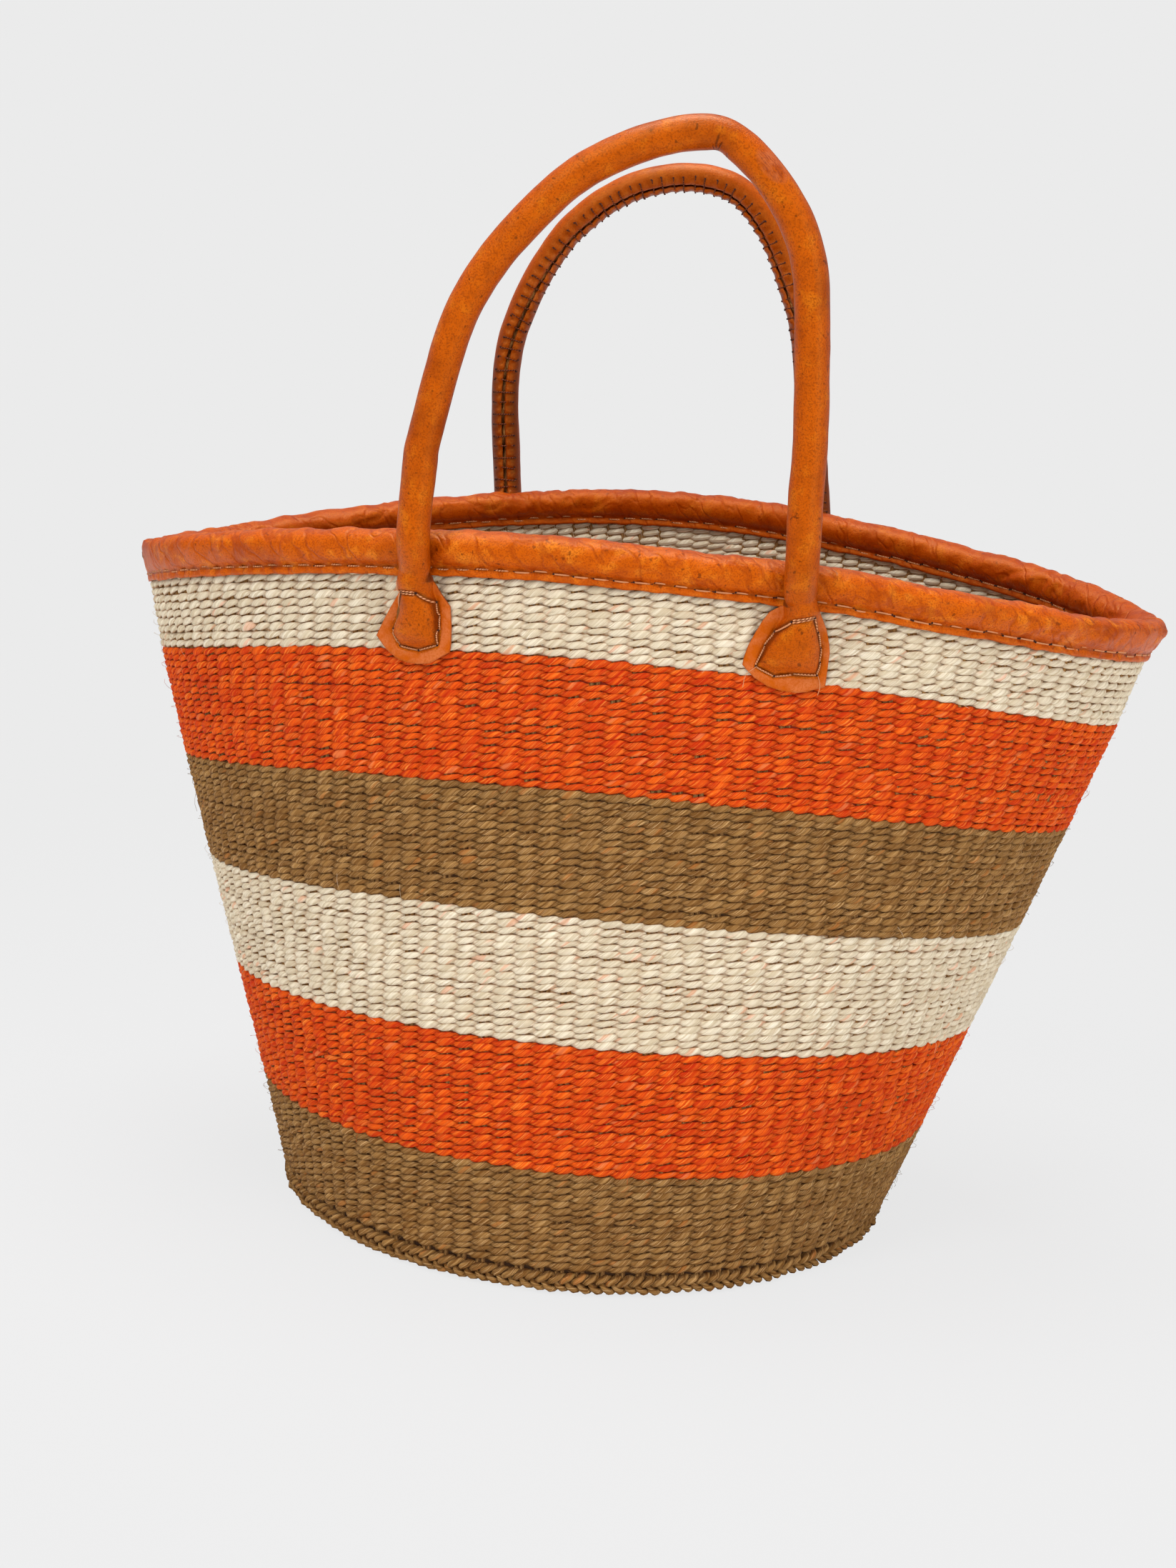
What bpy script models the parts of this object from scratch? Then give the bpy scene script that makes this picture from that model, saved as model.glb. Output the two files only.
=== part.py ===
# A kiondo: a twined sisal basket with a folded leather rim and two leather handles.
# Metres, +Z up. The origin is under the middle of the mouth, on the floor.
# X runs along the mouth's long axis and the front handle stands at -Y.

import math

import bmesh
import bpy
import numpy as np
from mathutils import Vector

# Woven body
mouth_length = 0.450          # over the wall, between the mouth's two ends
mouth_width = 0.230
mouth_end_power = 1.12        # 1 is an ellipse, more draws the ends to a point
base_diameter = 0.270
base_set_back = 0.0055        # the foot lies this far to the left of the mouth's middle
wall_thickness = 0.0050
rim_drop = 0.0303             # the mouth's ends are this much lower than its middle
rim_drop_power = 1.168
belly_share = 0.0051          # how far the wall swells at half height
band_heights = {              # heights up the middle of the front, from the foot
    "brown_band_lower": 0.0506,
    "orange_band_lower": 0.0522,
    "cream_band_lower": 0.0517,
    "brown_band_upper": 0.0495,
    "orange_band_upper": 0.0511,
    "cream_band_upper": 0.0420,
}
gap = 0.0003                  # between neighbouring pieces

# Foot
base_thickness = 0.0050
braid_height = 0.0078
braid_width = 0.0082
braid_overhang = 0.0016       # how far the braid stands out past the wall
braid_flat_share = 0.55       # the part of the braid's width that is flat, above and below

# Leather rim over the turned warp ends
roll_width = 0.0134
roll_height = 0.0088
rim_leather = 0.0014
rim_stand = 0.0030            # the leather's top above the wall's own top line
lip_height = 0.0042
roll_angles_deg = (-40, 0, 45, 90, 135, 180, 220)
rim_thread_width = 0.0009
rim_thread_height = 0.0007
rim_thread_inset = 0.0026     # from the lip's edge to the thread

# Handles
handle_spread = 0.150         # between the two legs
handle_rise = 0.1753          # from the hinge to the top of the rope
handle_thickness = 0.0132     # across the flats of the grip
handle_leather = 0.0018
neck_thickness = 0.0114       # across the flats where the grip meets its flaps
neck_taper = 0.0080
hinge_drop = 0.0175           # below the wall's top line
lacing_pitch = 0.0060
lacing_width = 0.0044
lacing_thread = 0.0012
lacing_height = 0.0006
# Half spreads across and rises up, along the rope from the left leg to the right one
front_arch_shares = (
    (-1.00, 0.00), (-0.985, 0.13), (-0.945, 0.34), (-0.828, 0.56), (-0.54, 0.778),
    (0.017, 0.966), (0.27, 1.00), (0.468, 0.995), (0.656, 0.941), (0.827, 0.848),
    (0.921, 0.751), (0.975, 0.60), (1.00, 0.40), (1.007, 0.13), (1.00, 0.00),
)
back_arch_shares = (
    (-1.00, 0.00), (-1.03, 0.19), (-1.09, 0.33), (-1.096, 0.48), (-1.06, 0.60),
    (-0.96, 0.72), (-0.80, 0.805), (-0.51, 0.935), (-0.044, 1.00), (0.357, 0.960),
    (0.548, 0.865), (0.695, 0.732), (0.79, 0.61), (0.875, 0.36), (0.965, 0.13), (1.00, 0.00),
)

# Sewn flaps at the handles' four ends
flap_width = 0.0310
flap_height = 0.0290
flap_drop = 0.0150            # its top edge, below the wall's top line
flap_leather = 0.0018
flap_seat = 0.0005            # off the woven wall
flap_dome = 0.0056            # the lower end of the rope's bulge above the wall
flap_thread_width = 0.0010
flap_thread_height = 0.0007
# Half widths across and heights down, from the top middle round the right side
flap_outline_shares = (
    (0.00, 0.00), (0.52, 0.02), (0.80, 0.22), (0.93, 0.45), (1.00, 0.68), (0.62, 0.93), (0.00, 1.00),
)
flap_seam_shares = (
    (0.00, 0.05), (0.44, 0.06), (0.56, 0.25), (0.62, 0.45), (0.62, 0.62), (0.40, 0.78), (0.00, 0.83),
)
flap_crest_shares = (
    (0.00, 0.09), (0.30, 0.10), (0.34, 0.26), (0.36, 0.42), (0.33, 0.52), (0.20, 0.60), (0.00, 0.63),
)
flap_centre_share = 0.36      # the dome's middle, down from the top edge
flap_thread_share = 1.10      # the thread's outline outside the dome's
pocket_share = 0.86           # the pocket's outline inside the dome's
rope_end_share = 0.74

# Facets
ring_stations = 48
smooth_stations = 480
mouth_samples = 4001
arch_stations = 24
arch_steps = 16
tube_sides = 8
sharp_angle_deg = 50

wall_height = sum(band_heights.values())
side_out = math.cos(math.pi / tube_sides)  # flats of a tube's section over its corners
front = -1
back = 1


def clear_scene():
    for item in list(bpy.data.objects):
        bpy.data.objects.remove(item, do_unlink=True)


def make_material(name, colour, roughness):
    material = bpy.data.materials.new(name)
    material.use_nodes = True
    shader = material.node_tree.nodes["Principled BSDF"]
    shader.inputs["Base Color"].default_value = (*colour, 1.0)
    shader.inputs["Roughness"].default_value = roughness
    shader.inputs["Metallic"].default_value = 0.0
    return material


def make_object(name, bm, material, parent=None):
    """Turns a bmesh into a named object with its faces out and its round sides smooth."""
    bmesh.ops.recalc_face_normals(bm, faces=bm.faces)
    mesh = bpy.data.meshes.new(name)
    bm.to_mesh(mesh)
    bm.free()
    mesh.shade_smooth()
    mesh.set_sharp_from_angle(angle=math.radians(sharp_angle_deg))
    item = bpy.data.objects.new(name, mesh)
    item.data.materials.append(material)
    bpy.context.scene.collection.objects.link(item)
    if parent is not None:
        mesh.transform(parent.matrix_world.inverted())
        item.parent = parent
    return item


def join_rings(bm, ring, other):
    for here in range(len(ring)):
        there = (here + 1) % len(ring)
        bm.faces.new((ring[here], ring[there], other[there], other[here]))


def add_loft(bm, rows, closed):
    """Skins rings of points. A closed list joins its last ring to its first, others get end caps."""
    rings = [[bm.verts.new(point) for point in row] for row in rows]
    for ring, following in zip(rings, rings[1:]):
        join_rings(bm, ring, following)
    if closed:
        join_rings(bm, rings[-1], rings[0])
    else:
        bm.faces.new(rings[0])
        bm.faces.new(rings[-1])


def add_thread(bm, line, across, outward, width, height, closed):
    """Lays one unbroken thread along a line: a flat-backed cord with a ridge, on the surface under it."""
    rows = []
    for point, side, up in zip(line, across, outward):
        half = side.normalized() * (width / 2)
        rows.append([point + half, point + up.normalized() * height, point - half])
    add_loft(bm, rows, closed)


# The wall's outer face, from the round foot at share 0 to the mouth at share 1

def mouth_curve(stations):
    """Points of the mouth's outline, evenly spaced along it, from its right end."""
    turn = np.linspace(0, 2 * math.pi, mouth_samples)
    x = mouth_length / 2 * np.cos(turn)
    y = mouth_width / 2 * np.sign(np.sin(turn)) * np.abs(np.sin(turn)) ** mouth_end_power
    run = np.concatenate([[0], np.cumsum(np.hypot(np.diff(x), np.diff(y)))])
    at = np.arange(stations) / stations * run[-1]
    return np.interp(at, run, x), np.interp(at, run, y)


def wall_row(up_share, stations=ring_stations):
    """The wall's outer face at one share of its height, as x, y and z arrays."""
    turn = np.arange(stations) / stations * 2 * math.pi
    mouth_x, mouth_y = mouth_curve(stations)
    foot = 1 - up_share
    belly = 1 + belly_share * 4 * up_share * foot
    x = belly * (foot * base_diameter / 2 * np.cos(turn) + up_share * mouth_x) - foot * base_set_back
    y = belly * (foot * base_diameter / 2 * np.sin(turn) + up_share * mouth_y)
    arch = rim_drop * (1 - (mouth_x / (mouth_length / 2)) ** 2) * max(up_share, 0) ** rim_drop_power
    return x, y, (wall_height - rim_drop) * up_share + arch


def offset_row(offset, drop):
    """Ring of points at a distance out from the wall's outer face and a drop below its top line."""
    x, y, z = wall_row(min(1, 1 - drop / wall_height))
    along_x = np.roll(x, -1) - np.roll(x, 1)
    along_y = np.roll(y, -1) - np.roll(y, 1)
    length = np.hypot(along_x, along_y)
    x = x + along_y / length * offset
    y = y - along_x / length * offset
    z = z + max(0, -drop)
    return [Vector(p) for p in zip(x, y, z)]


def wall_place(x, drop, out, side):
    """A point out from the smooth wall at the front or the back, and the way out."""
    row_x, row_y, row_z = wall_row(1 - drop / wall_height, smooth_stations)
    half = row_y * side > 0
    order = np.argsort(row_x[half])
    row_x, row_y, row_z = (row[half][order] for row in (row_x, row_y, row_z))
    slope = np.interp(x, row_x, np.gradient(row_y, row_x))
    outward = Vector((-side * slope, side, 0)).normalized()
    point = Vector((x, np.interp(x, row_x, row_y), np.interp(x, row_x, row_z)))
    return point + outward * out, outward


def build_base(material):
    radius = base_diameter / 2 + braid_overhang - braid_width - gap
    bm = bmesh.new()
    bmesh.ops.create_circle(bm, cap_ends=True, radius=radius, segments=ring_stations)
    grown = bmesh.ops.extrude_face_region(bm, geom=list(bm.faces))
    raised = [v for v in grown["geom"] if isinstance(v, bmesh.types.BMVert)]
    bmesh.ops.translate(bm, verts=raised, vec=(0, 0, base_thickness))
    bmesh.ops.translate(bm, verts=bm.verts, vec=(-base_set_back, 0, 0))
    make_object("base_disc", bm, material)


def build_braid(material):
    """The ridge round the foot: a flattened six-sided ring that the basket stands on."""
    outer = base_diameter / 2 + braid_overhang
    ridge = outer - braid_width / 2
    flat = braid_flat_share * braid_width / 2
    section = (
        (outer, braid_height / 2), (ridge + flat, braid_height), (ridge - flat, braid_height),
        (outer - braid_width, braid_height / 2), (ridge - flat, 0), (ridge + flat, 0),
    )
    turns = [2 * math.pi * i / ring_stations for i in range(ring_stations)]
    middle = Vector((-base_set_back, 0, 0))
    rows = []
    for radius, z in section:
        rows.append([middle + Vector((radius * math.cos(t), radius * math.sin(t), z)) for t in turns])
    bm = bmesh.new()
    add_loft(bm, rows, closed=True)
    make_object("base_braid", bm, material)


def lip_top():
    """How far below the wall's top line the leather's lips begin."""
    return roll_height - rim_stand + 2 * (rim_leather + gap)


def build_bands(materials):
    """Six rings of weave, the first standing on the braid and the last reaching up into the leather."""
    foot_share = (braid_height + gap) / (wall_height - rim_drop)
    names = list(band_heights)
    drop = wall_height
    for name, height in band_heights.items():
        low = wall_height * (1 - foot_share) if name == names[0] else drop - gap / 2
        drop = drop - height
        high = lip_top() if name == names[-1] else drop + gap / 2
        rows = [offset_row(0, low), offset_row(0, high)]
        rows += [offset_row(-wall_thickness, high), offset_row(-wall_thickness, low)]
        bm = bmesh.new()
        add_loft(bm, rows, closed=True)
        make_object(name, bm, materials[name.split("_")[0]])


def roll_rows(grow):
    """Rings of points round the roll of warp ends, from outside over the top to inside."""
    middle_drop = (roll_height / 2 + rim_leather + gap) - rim_stand
    rows = []
    for degrees in roll_angles_deg:
        turn = math.radians(degrees)
        out = (roll_width / 2 + grow) * math.cos(turn) - wall_thickness / 2
        rows.append(offset_row(out, middle_drop - (roll_height / 2 + grow) * math.sin(turn)))
    return rows


def build_roll(material):
    foot = lip_top() - 2 * gap
    rows = [offset_row(0, foot), *roll_rows(0), offset_row(-wall_thickness, foot)]
    bm = bmesh.new()
    add_loft(bm, rows, closed=True)
    make_object("turned_warp_ends", bm, material)


def build_binding(material):
    """The leather strip: over the roll, with a lip down each side of the wall."""
    low = lip_top() + lip_height
    skin = gap + rim_leather
    outside = [offset_row(skin, low), offset_row(skin, lip_top())]
    outside += roll_rows(skin)
    outside += [offset_row(-wall_thickness - skin, lip_top()), offset_row(-wall_thickness - skin, low)]
    inside = [offset_row(gap, low), offset_row(gap, lip_top())]
    inside += roll_rows(gap)
    inside += [offset_row(-wall_thickness - gap, lip_top()), offset_row(-wall_thickness - gap, low)]
    bm = bmesh.new()
    add_loft(bm, outside + inside[::-1], closed=True)
    make_object("rim_binding", bm, material)


def build_rim_thread(name, offset, outward_sign, material):
    """The running stitch along one lip, as the one thread that it is."""
    drop = lip_top() + lip_height - rim_thread_inset
    line = offset_row(offset, drop)
    above = offset_row(offset, drop - rim_thread_width)
    further = offset_row(offset + outward_sign * rim_thread_height, drop)
    across = [high - low for high, low in zip(above, line)]
    outward = [far - near for far, near in zip(further, line)]
    bm = bmesh.new()
    add_thread(bm, line, across, outward, rim_thread_width, rim_thread_height, closed=True)
    make_object(name, bm, material)


# Handles

def leg_distance():
    """How far the legs' middle plane lies from the basket's, so that they clear the rim's leather."""
    skin = gap + rim_leather
    bulge = offset_row(roll_width / 2 + skin - wall_thickness / 2, roll_height / 2 + skin - rim_stand)
    half = sorted((p.x, -p.y) for p in bulge if p.y < 0)
    xs, outs = zip(*half)
    inner_edge = handle_spread / 2 - handle_thickness / 2
    return float(np.interp(inner_edge, xs, outs)) + gap + handle_thickness / 2


def hinge_place(side):
    height = wall_place(handle_spread / 2, hinge_drop, 0, side)[0].z
    return Vector((0, side * leg_distance(), height))


def smooth_through(points, count):
    """A rounded line through the points, cut into equal lengths."""
    dense = []
    padded = [points[0] * 2 - points[1], *points, points[-1] * 2 - points[-2]]
    for a, b, c, d in zip(padded, padded[1:], padded[2:], padded[3:]):
        for step in range(arch_steps):
            t = step / arch_steps
            bend = (2 * a - 5 * b + 4 * c - d) * t * t + (3 * b - a - 3 * c + d) * t ** 3
            dense.append(b + ((c - a) * t + bend) / 2)
    dense.append(points[-1])
    runs = np.concatenate([[0], np.cumsum([(q - p).length for p, q in zip(dense, dense[1:])])])
    wanted = np.linspace(0, runs[-1], count)
    flat = np.array([tuple(p) for p in dense])
    return [Vector([np.interp(at, runs, flat[:, axis]) for axis in range(3)]) for at in wanted]


def arch_line(shares, side):
    hinge = hinge_place(side)
    points = [hinge + Vector((across * handle_spread / 2, 0, up * handle_rise)) for across, up in shares]
    line = smooth_through(points, arch_stations + 1)
    first = line[0].lerp(line[1], neck_taper / (line[1] - line[0]).length)
    last = line[-1].lerp(line[-2], neck_taper / (line[-2] - line[-1]).length)
    return [line[0], first, *line[1:-1], last, line[-1]]


def tube_rows(line, thicknesses):
    """Sections square to the line, with a flat side facing along Y."""
    sideways = Vector((0, 1, 0))
    turns = [2 * math.pi * (k + 0.5) / tube_sides for k in range(tube_sides)]
    rows = []
    for index, point in enumerate(line):
        ahead = line[min(index + 1, len(line) - 1)] - line[max(index - 1, 0)]
        if index in (0, len(line) - 1):
            ahead = Vector((0, 0, 1 if index == 0 else -1))
        normal = ahead.normalized().cross(sideways)
        corner = thicknesses[index] / 2 / side_out
        rows.append([point + (normal * math.cos(t) + sideways * math.sin(t)) * corner for t in turns])
    return rows


def build_handle(prefix, side, shares, materials):
    hinge = bpy.data.objects.new(prefix + "_handle_hinge", None)
    hinge.location = hinge_place(side)
    bpy.context.scene.collection.objects.link(hinge)
    bpy.context.view_layer.update()
    line = arch_line(shares, side)
    outer = [neck_thickness, *[handle_thickness] * (len(line) - 2), neck_thickness]
    bore = [size - 2 * handle_leather for size in outer]
    rope = [size - 2 * gap for size in bore]
    bm = bmesh.new()
    add_loft(bm, tube_rows(line, outer) + tube_rows(line, bore)[::-1], closed=True)
    make_object(prefix + "_handle_leather", bm, materials["leather"], hinge)
    bm = bmesh.new()
    add_loft(bm, tube_rows(line, rope), closed=False)
    make_object(prefix + "_handle_rope", bm, materials["rope"], hinge)
    build_lacing(prefix, side, line, materials["thread"], hinge)


def build_lacing(prefix, side, line, material, hinge):
    """The thread that closes the grip's seam, crossing it to and fro on the side towards the basket."""
    length = sum((q - p).length for p, q in zip(line, line[1:]))
    count = int(length / lacing_pitch)
    skipped = int(2 * neck_taper / lacing_pitch)
    middles = smooth_through(line, count + 1)
    seat = Vector((0, -side * (handle_thickness / 2 + gap), 0))
    zigzag, across = [], []
    for index in range(skipped, count - skipped):
        ahead = (middles[index + 1] - middles[index - 1]).normalized()
        over = ahead.cross(Vector((0, 1, 0)))
        way = 1 if index % 2 else -1
        zigzag.append(middles[index] + seat + over * (way * lacing_width / 2))
        across.append(over)
    bm = bmesh.new()
    add_thread(bm, zigzag, across, [seat] * len(zigzag), lacing_thread, lacing_height, closed=False)
    make_object(prefix + "_handle_lacing", bm, material, hinge)


# Flaps

def flap_ring(shares, scale, height, foot_x, side, mirror):
    """One ring of a flap: points about the dome's middle, at a height off the wall."""
    right = [(across, down) for across, down in shares]
    left = [(-across, down) for across, down in shares[-2:0:-1]]
    points = []
    for across, down in right + left:
        x = foot_x + mirror * across * scale * flap_width / 2
        down = flap_centre_share + (down - flap_centre_share) * scale
        points.append(wall_place(x, flap_drop + down * flap_height, height(down), side)[0])
    return points


def flap_middle(height, foot_x, side):
    drop = flap_drop + flap_centre_share * flap_height
    return wall_place(foot_x, drop, height(flap_centre_share), side)[0]


def root_height(side):
    """The dome's height behind the hinge, where the grip's neck turns against it."""
    wall = wall_place(handle_spread / 2, hinge_drop, 0, side)[0]
    return leg_distance() - abs(wall.y) - neck_thickness / 2 / side_out - gap


def add_dome(bm, rows, middle):
    """Skins rings of a dome and closes it at its middle with a fan."""
    rings = [[bm.verts.new(point) for point in row] for row in rows]
    tip = bm.verts.new(middle)
    for ring, following in zip(rings, rings[1:]):
        join_rings(bm, ring, following)
    last = rings[-1]
    for here in range(len(last)):
        bm.faces.new((last[here], last[(here + 1) % len(last)], tip))
    return rings[0]


def flap_heights(side):
    """Heights off the wall of a flap's layers, each for a share down from its top edge."""
    top = root_height(side)
    first = flap_crest_shares[0][1]
    last = flap_crest_shares[-1][1]

    def crest(down):
        return top + (flap_dome - top) * min(1, max(0, (down - first) / (last - first)))

    return {
        "seat": lambda down: flap_seat,
        "face": lambda down: flap_seat + flap_leather,
        "crest": crest,
        "pocket": lambda down: crest(down) - flap_leather,
        "rope": lambda down: crest(down) - flap_leather - 2 * gap,
        "rope_foot": lambda down: flap_seat + gap,
        "thread": lambda down: flap_seat + flap_leather + gap,
        "thread_top": lambda down: flap_seat + flap_leather + gap + flap_thread_height,
    }


def build_flap(prefix, foot_x, side, mirror, materials):
    heights = flap_heights(side)

    def ring(shares, scale, layer):
        return flap_ring(shares, scale, heights[layer], foot_x, side, mirror)

    def middle(layer):
        return flap_middle(heights[layer], foot_x, side)

    bm = bmesh.new()
    face_rows = [ring(flap_outline_shares, 1, "face"), ring(flap_seam_shares, 1, "face")]
    face_rows.append(ring(flap_crest_shares, 1, "crest"))
    rear_rows = [ring(flap_outline_shares, 1, "seat"), ring(flap_seam_shares, pocket_share, "seat")]
    rear_rows.append(ring(flap_crest_shares, pocket_share, "pocket"))
    face_edge = add_dome(bm, face_rows, middle("crest"))
    rear_edge = add_dome(bm, rear_rows, middle("pocket"))
    join_rings(bm, face_edge, rear_edge)
    make_object(prefix + "_flap", bm, materials["leather"])

    bm = bmesh.new()
    rope_rows = [ring(flap_seam_shares, rope_end_share, "rope_foot")]
    rope_rows.append(ring(flap_crest_shares, rope_end_share, "rope"))
    edge = add_dome(bm, rope_rows, middle("rope"))
    bm.faces.new(edge)
    make_object(prefix + "_rope_end", bm, materials["rope"])
    build_flap_thread(prefix, ring, materials["thread"])


def build_flap_thread(prefix, ring, material):
    """The thread that outlines the dome, apart from the neck, which the grip covers."""
    line = ring(flap_seam_shares, flap_thread_share, "thread")[1:]
    further = ring(flap_seam_shares, flap_thread_share, "thread_top")[1:]
    outward = [far - near for far, near in zip(further, line)]
    across = []
    for index, up in enumerate(outward):
        ahead = line[min(index + 1, len(line) - 1)] - line[max(index - 1, 0)]
        across.append(ahead.cross(up))
    bm = bmesh.new()
    add_thread(bm, line, across, outward, flap_thread_width, flap_thread_height, closed=False)
    make_object(prefix + "_flap_thread", bm, material)


def main():
    clear_scene()
    materials = {
        "cream": make_material("cream_sisal", (0.62, 0.56, 0.43), 0.8),
        "orange": make_material("orange_sisal", (0.80, 0.16, 0.02), 0.8),
        "brown": make_material("brown_sisal", (0.27, 0.17, 0.08), 0.85),
        "leather": make_material("tan_leather", (0.60, 0.20, 0.03), 0.45),
        "thread": make_material("waxed_thread", (0.66, 0.42, 0.24), 0.6),
        "rope": make_material("core_rope", (0.55, 0.45, 0.30), 0.9),
    }
    build_base(materials["brown"])
    build_braid(materials["brown"])
    build_bands(materials)
    build_roll(materials["cream"])
    build_binding(materials["leather"])
    skin = rim_leather + 2 * gap
    build_rim_thread("rim_thread_outer", skin, 1, materials["thread"])
    build_rim_thread("rim_thread_inner", -wall_thickness - skin, -1, materials["thread"])
    build_handle("front", front, front_arch_shares, materials)
    build_handle("back", back, back_arch_shares, materials)
    for prefix, side in (("front", front), ("back", back)):
        for hand, mirror in (("left", -1), ("right", 1)):
            build_flap(f"{prefix}_{hand}", mirror * handle_spread / 2, side, mirror, materials)


main()
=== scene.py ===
# A twined sisal kiondo with a leather rim and two roped leather handles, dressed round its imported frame.
import math

import bmesh
import bpy
import numpy as np
from mathutils import Matrix, Vector, noise


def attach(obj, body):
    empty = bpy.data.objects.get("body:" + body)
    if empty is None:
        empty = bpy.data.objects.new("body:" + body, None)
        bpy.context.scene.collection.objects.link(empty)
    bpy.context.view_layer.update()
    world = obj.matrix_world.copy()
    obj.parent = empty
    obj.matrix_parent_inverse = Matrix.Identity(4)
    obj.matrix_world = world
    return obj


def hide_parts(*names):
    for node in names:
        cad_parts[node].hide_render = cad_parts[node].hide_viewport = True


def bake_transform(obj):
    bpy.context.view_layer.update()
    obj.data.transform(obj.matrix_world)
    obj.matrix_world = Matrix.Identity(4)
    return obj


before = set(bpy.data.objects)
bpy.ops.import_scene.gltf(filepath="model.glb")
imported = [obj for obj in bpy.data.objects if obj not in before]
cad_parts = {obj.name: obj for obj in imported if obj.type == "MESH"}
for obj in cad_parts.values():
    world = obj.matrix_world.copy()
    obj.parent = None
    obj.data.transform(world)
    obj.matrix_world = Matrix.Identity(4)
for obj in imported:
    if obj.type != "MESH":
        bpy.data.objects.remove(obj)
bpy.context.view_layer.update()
mm = 0.001
random = np.random.default_rng(11)


# Shader maths

class Value:
    def __init__(self, shader, socket):
        self.shader = shader
        self.socket = socket

    def maths(self, operation, first, second=0.0):
        return self.shader.node("ShaderNodeMath", {"operation": operation}, {0: first, 1: second})

    def __add__(self, other): return self.maths("ADD", self, other)
    def __radd__(self, other): return self.maths("ADD", other, self)
    def __sub__(self, other): return self.maths("SUBTRACT", self, other)
    def __rsub__(self, other): return self.maths("SUBTRACT", other, self)
    def __mul__(self, other): return self.maths("MULTIPLY", self, other)
    def __rmul__(self, other): return self.maths("MULTIPLY", other, self)
    def __pow__(self, other): return self.maths("POWER", self, other)
    def __abs__(self): return self.maths("ABSOLUTE", self)

    def sine(self): return self.maths("SINE", self)
    def atMost(self, other): return self.maths("MINIMUM", self, other)

    def between(self, low, high):  # 0 at low, 1 at high, eased
        inputs = {"Value": self, "From Min": low, "From Max": high}
        return self.shader.node("ShaderNodeMapRange", {"interpolation_type": "SMOOTHSTEP"}, inputs)


class Shader:
    def __init__(self, name, **constants):
        self.material = bpy.data.materials.new(name)
        self.material.use_nodes = True
        self.tree = self.material.node_tree
        self.principled = self.tree.nodes["Principled BSDF"]
        self.outlet = self.tree.nodes["Material Output"]
        for socket, constant in constants.items():
            self.principled.inputs[socket.replace("_", " ")].default_value = constant

    def feed(self, socket, value):
        if isinstance(value, Value):
            self.tree.links.new(value.socket, socket)
        elif isinstance(value, (tuple, list)) and socket.type == "RGBA":
            socket.default_value = (*value[:3], 1)
        else:
            socket.default_value = value

    def node(self, kind, settings=None, inputs=None, output=0):
        made = self.tree.nodes.new(kind)
        for key, setting in (settings or {}).items():
            setattr(made, key, setting)
        for key, value in (inputs or {}).items():
            self.feed(made.inputs[key], value)
        return Value(self, made.outputs[output])

    def mix(self, factor, first, second):
        return self.node("ShaderNodeMix", {"data_type": "RGBA"}, {0: factor, 6: first, 7: second}, 2)

    def noise(self, vector, scale, detail=2.0, rough=0.5):
        inputs = {"Vector": vector, "Scale": scale, "Detail": detail, "Roughness": rough}
        return self.node("ShaderNodeTexNoise", None, inputs, "Fac")

    def place(self):
        return self.node("ShaderNodeTexCoord", output="Object")

    def parts(self, name):  # an attribute's three numbers
        vector = self.node("ShaderNodeAttribute", {"attribute_name": name}, output="Vector")
        return [self.node("ShaderNodeSeparateXYZ", None, {0: vector}, axis) for axis in range(3)]

    def vector(self, x, y, z):
        return self.node("ShaderNodeCombineXYZ", None, {0: x, 1: y, 2: z})

    def surface(self, colour=None, roughness=None, height=None, strength=0.5, depth=0.001):
        if colour is not None:
            self.feed(self.principled.inputs["Base Color"], colour)
        if roughness is not None:
            self.feed(self.principled.inputs["Roughness"], roughness)
        if height is not None:
            inputs = {"Strength": strength, "Distance": depth, "Height": height}
            self.feed(self.principled.inputs["Normal"], self.node("ShaderNodeBump", None, inputs))
        return self.material


def rgb(*bytes255):  # a colour as a screen shows it, to the linear one that a socket takes
    return tuple(((b / 255 + 0.055) / 1.055) ** 2.4 if b > 10 else b / 255 / 12.92 for b in bytes255)


def dimmed(colour, share):
    return tuple(part * share for part in colour)


sisal = {
    "roughness": 0.75, "gloss": 0.12,
    "twist": 84.0, "fibreScale": 26.0, "streakScale": 7.0,  # turns a metre, and threads round a strand
    "fibreHighlightShare": 0.85, "fibreGapShadeShare": 0.55, "patchShare": 0.25, "fleckShare": 0.35,
    "deepShade": 0.45, "edgeShade": 0.62, "bump": 0.7, "bumpDepth": 0.0005,
}


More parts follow.
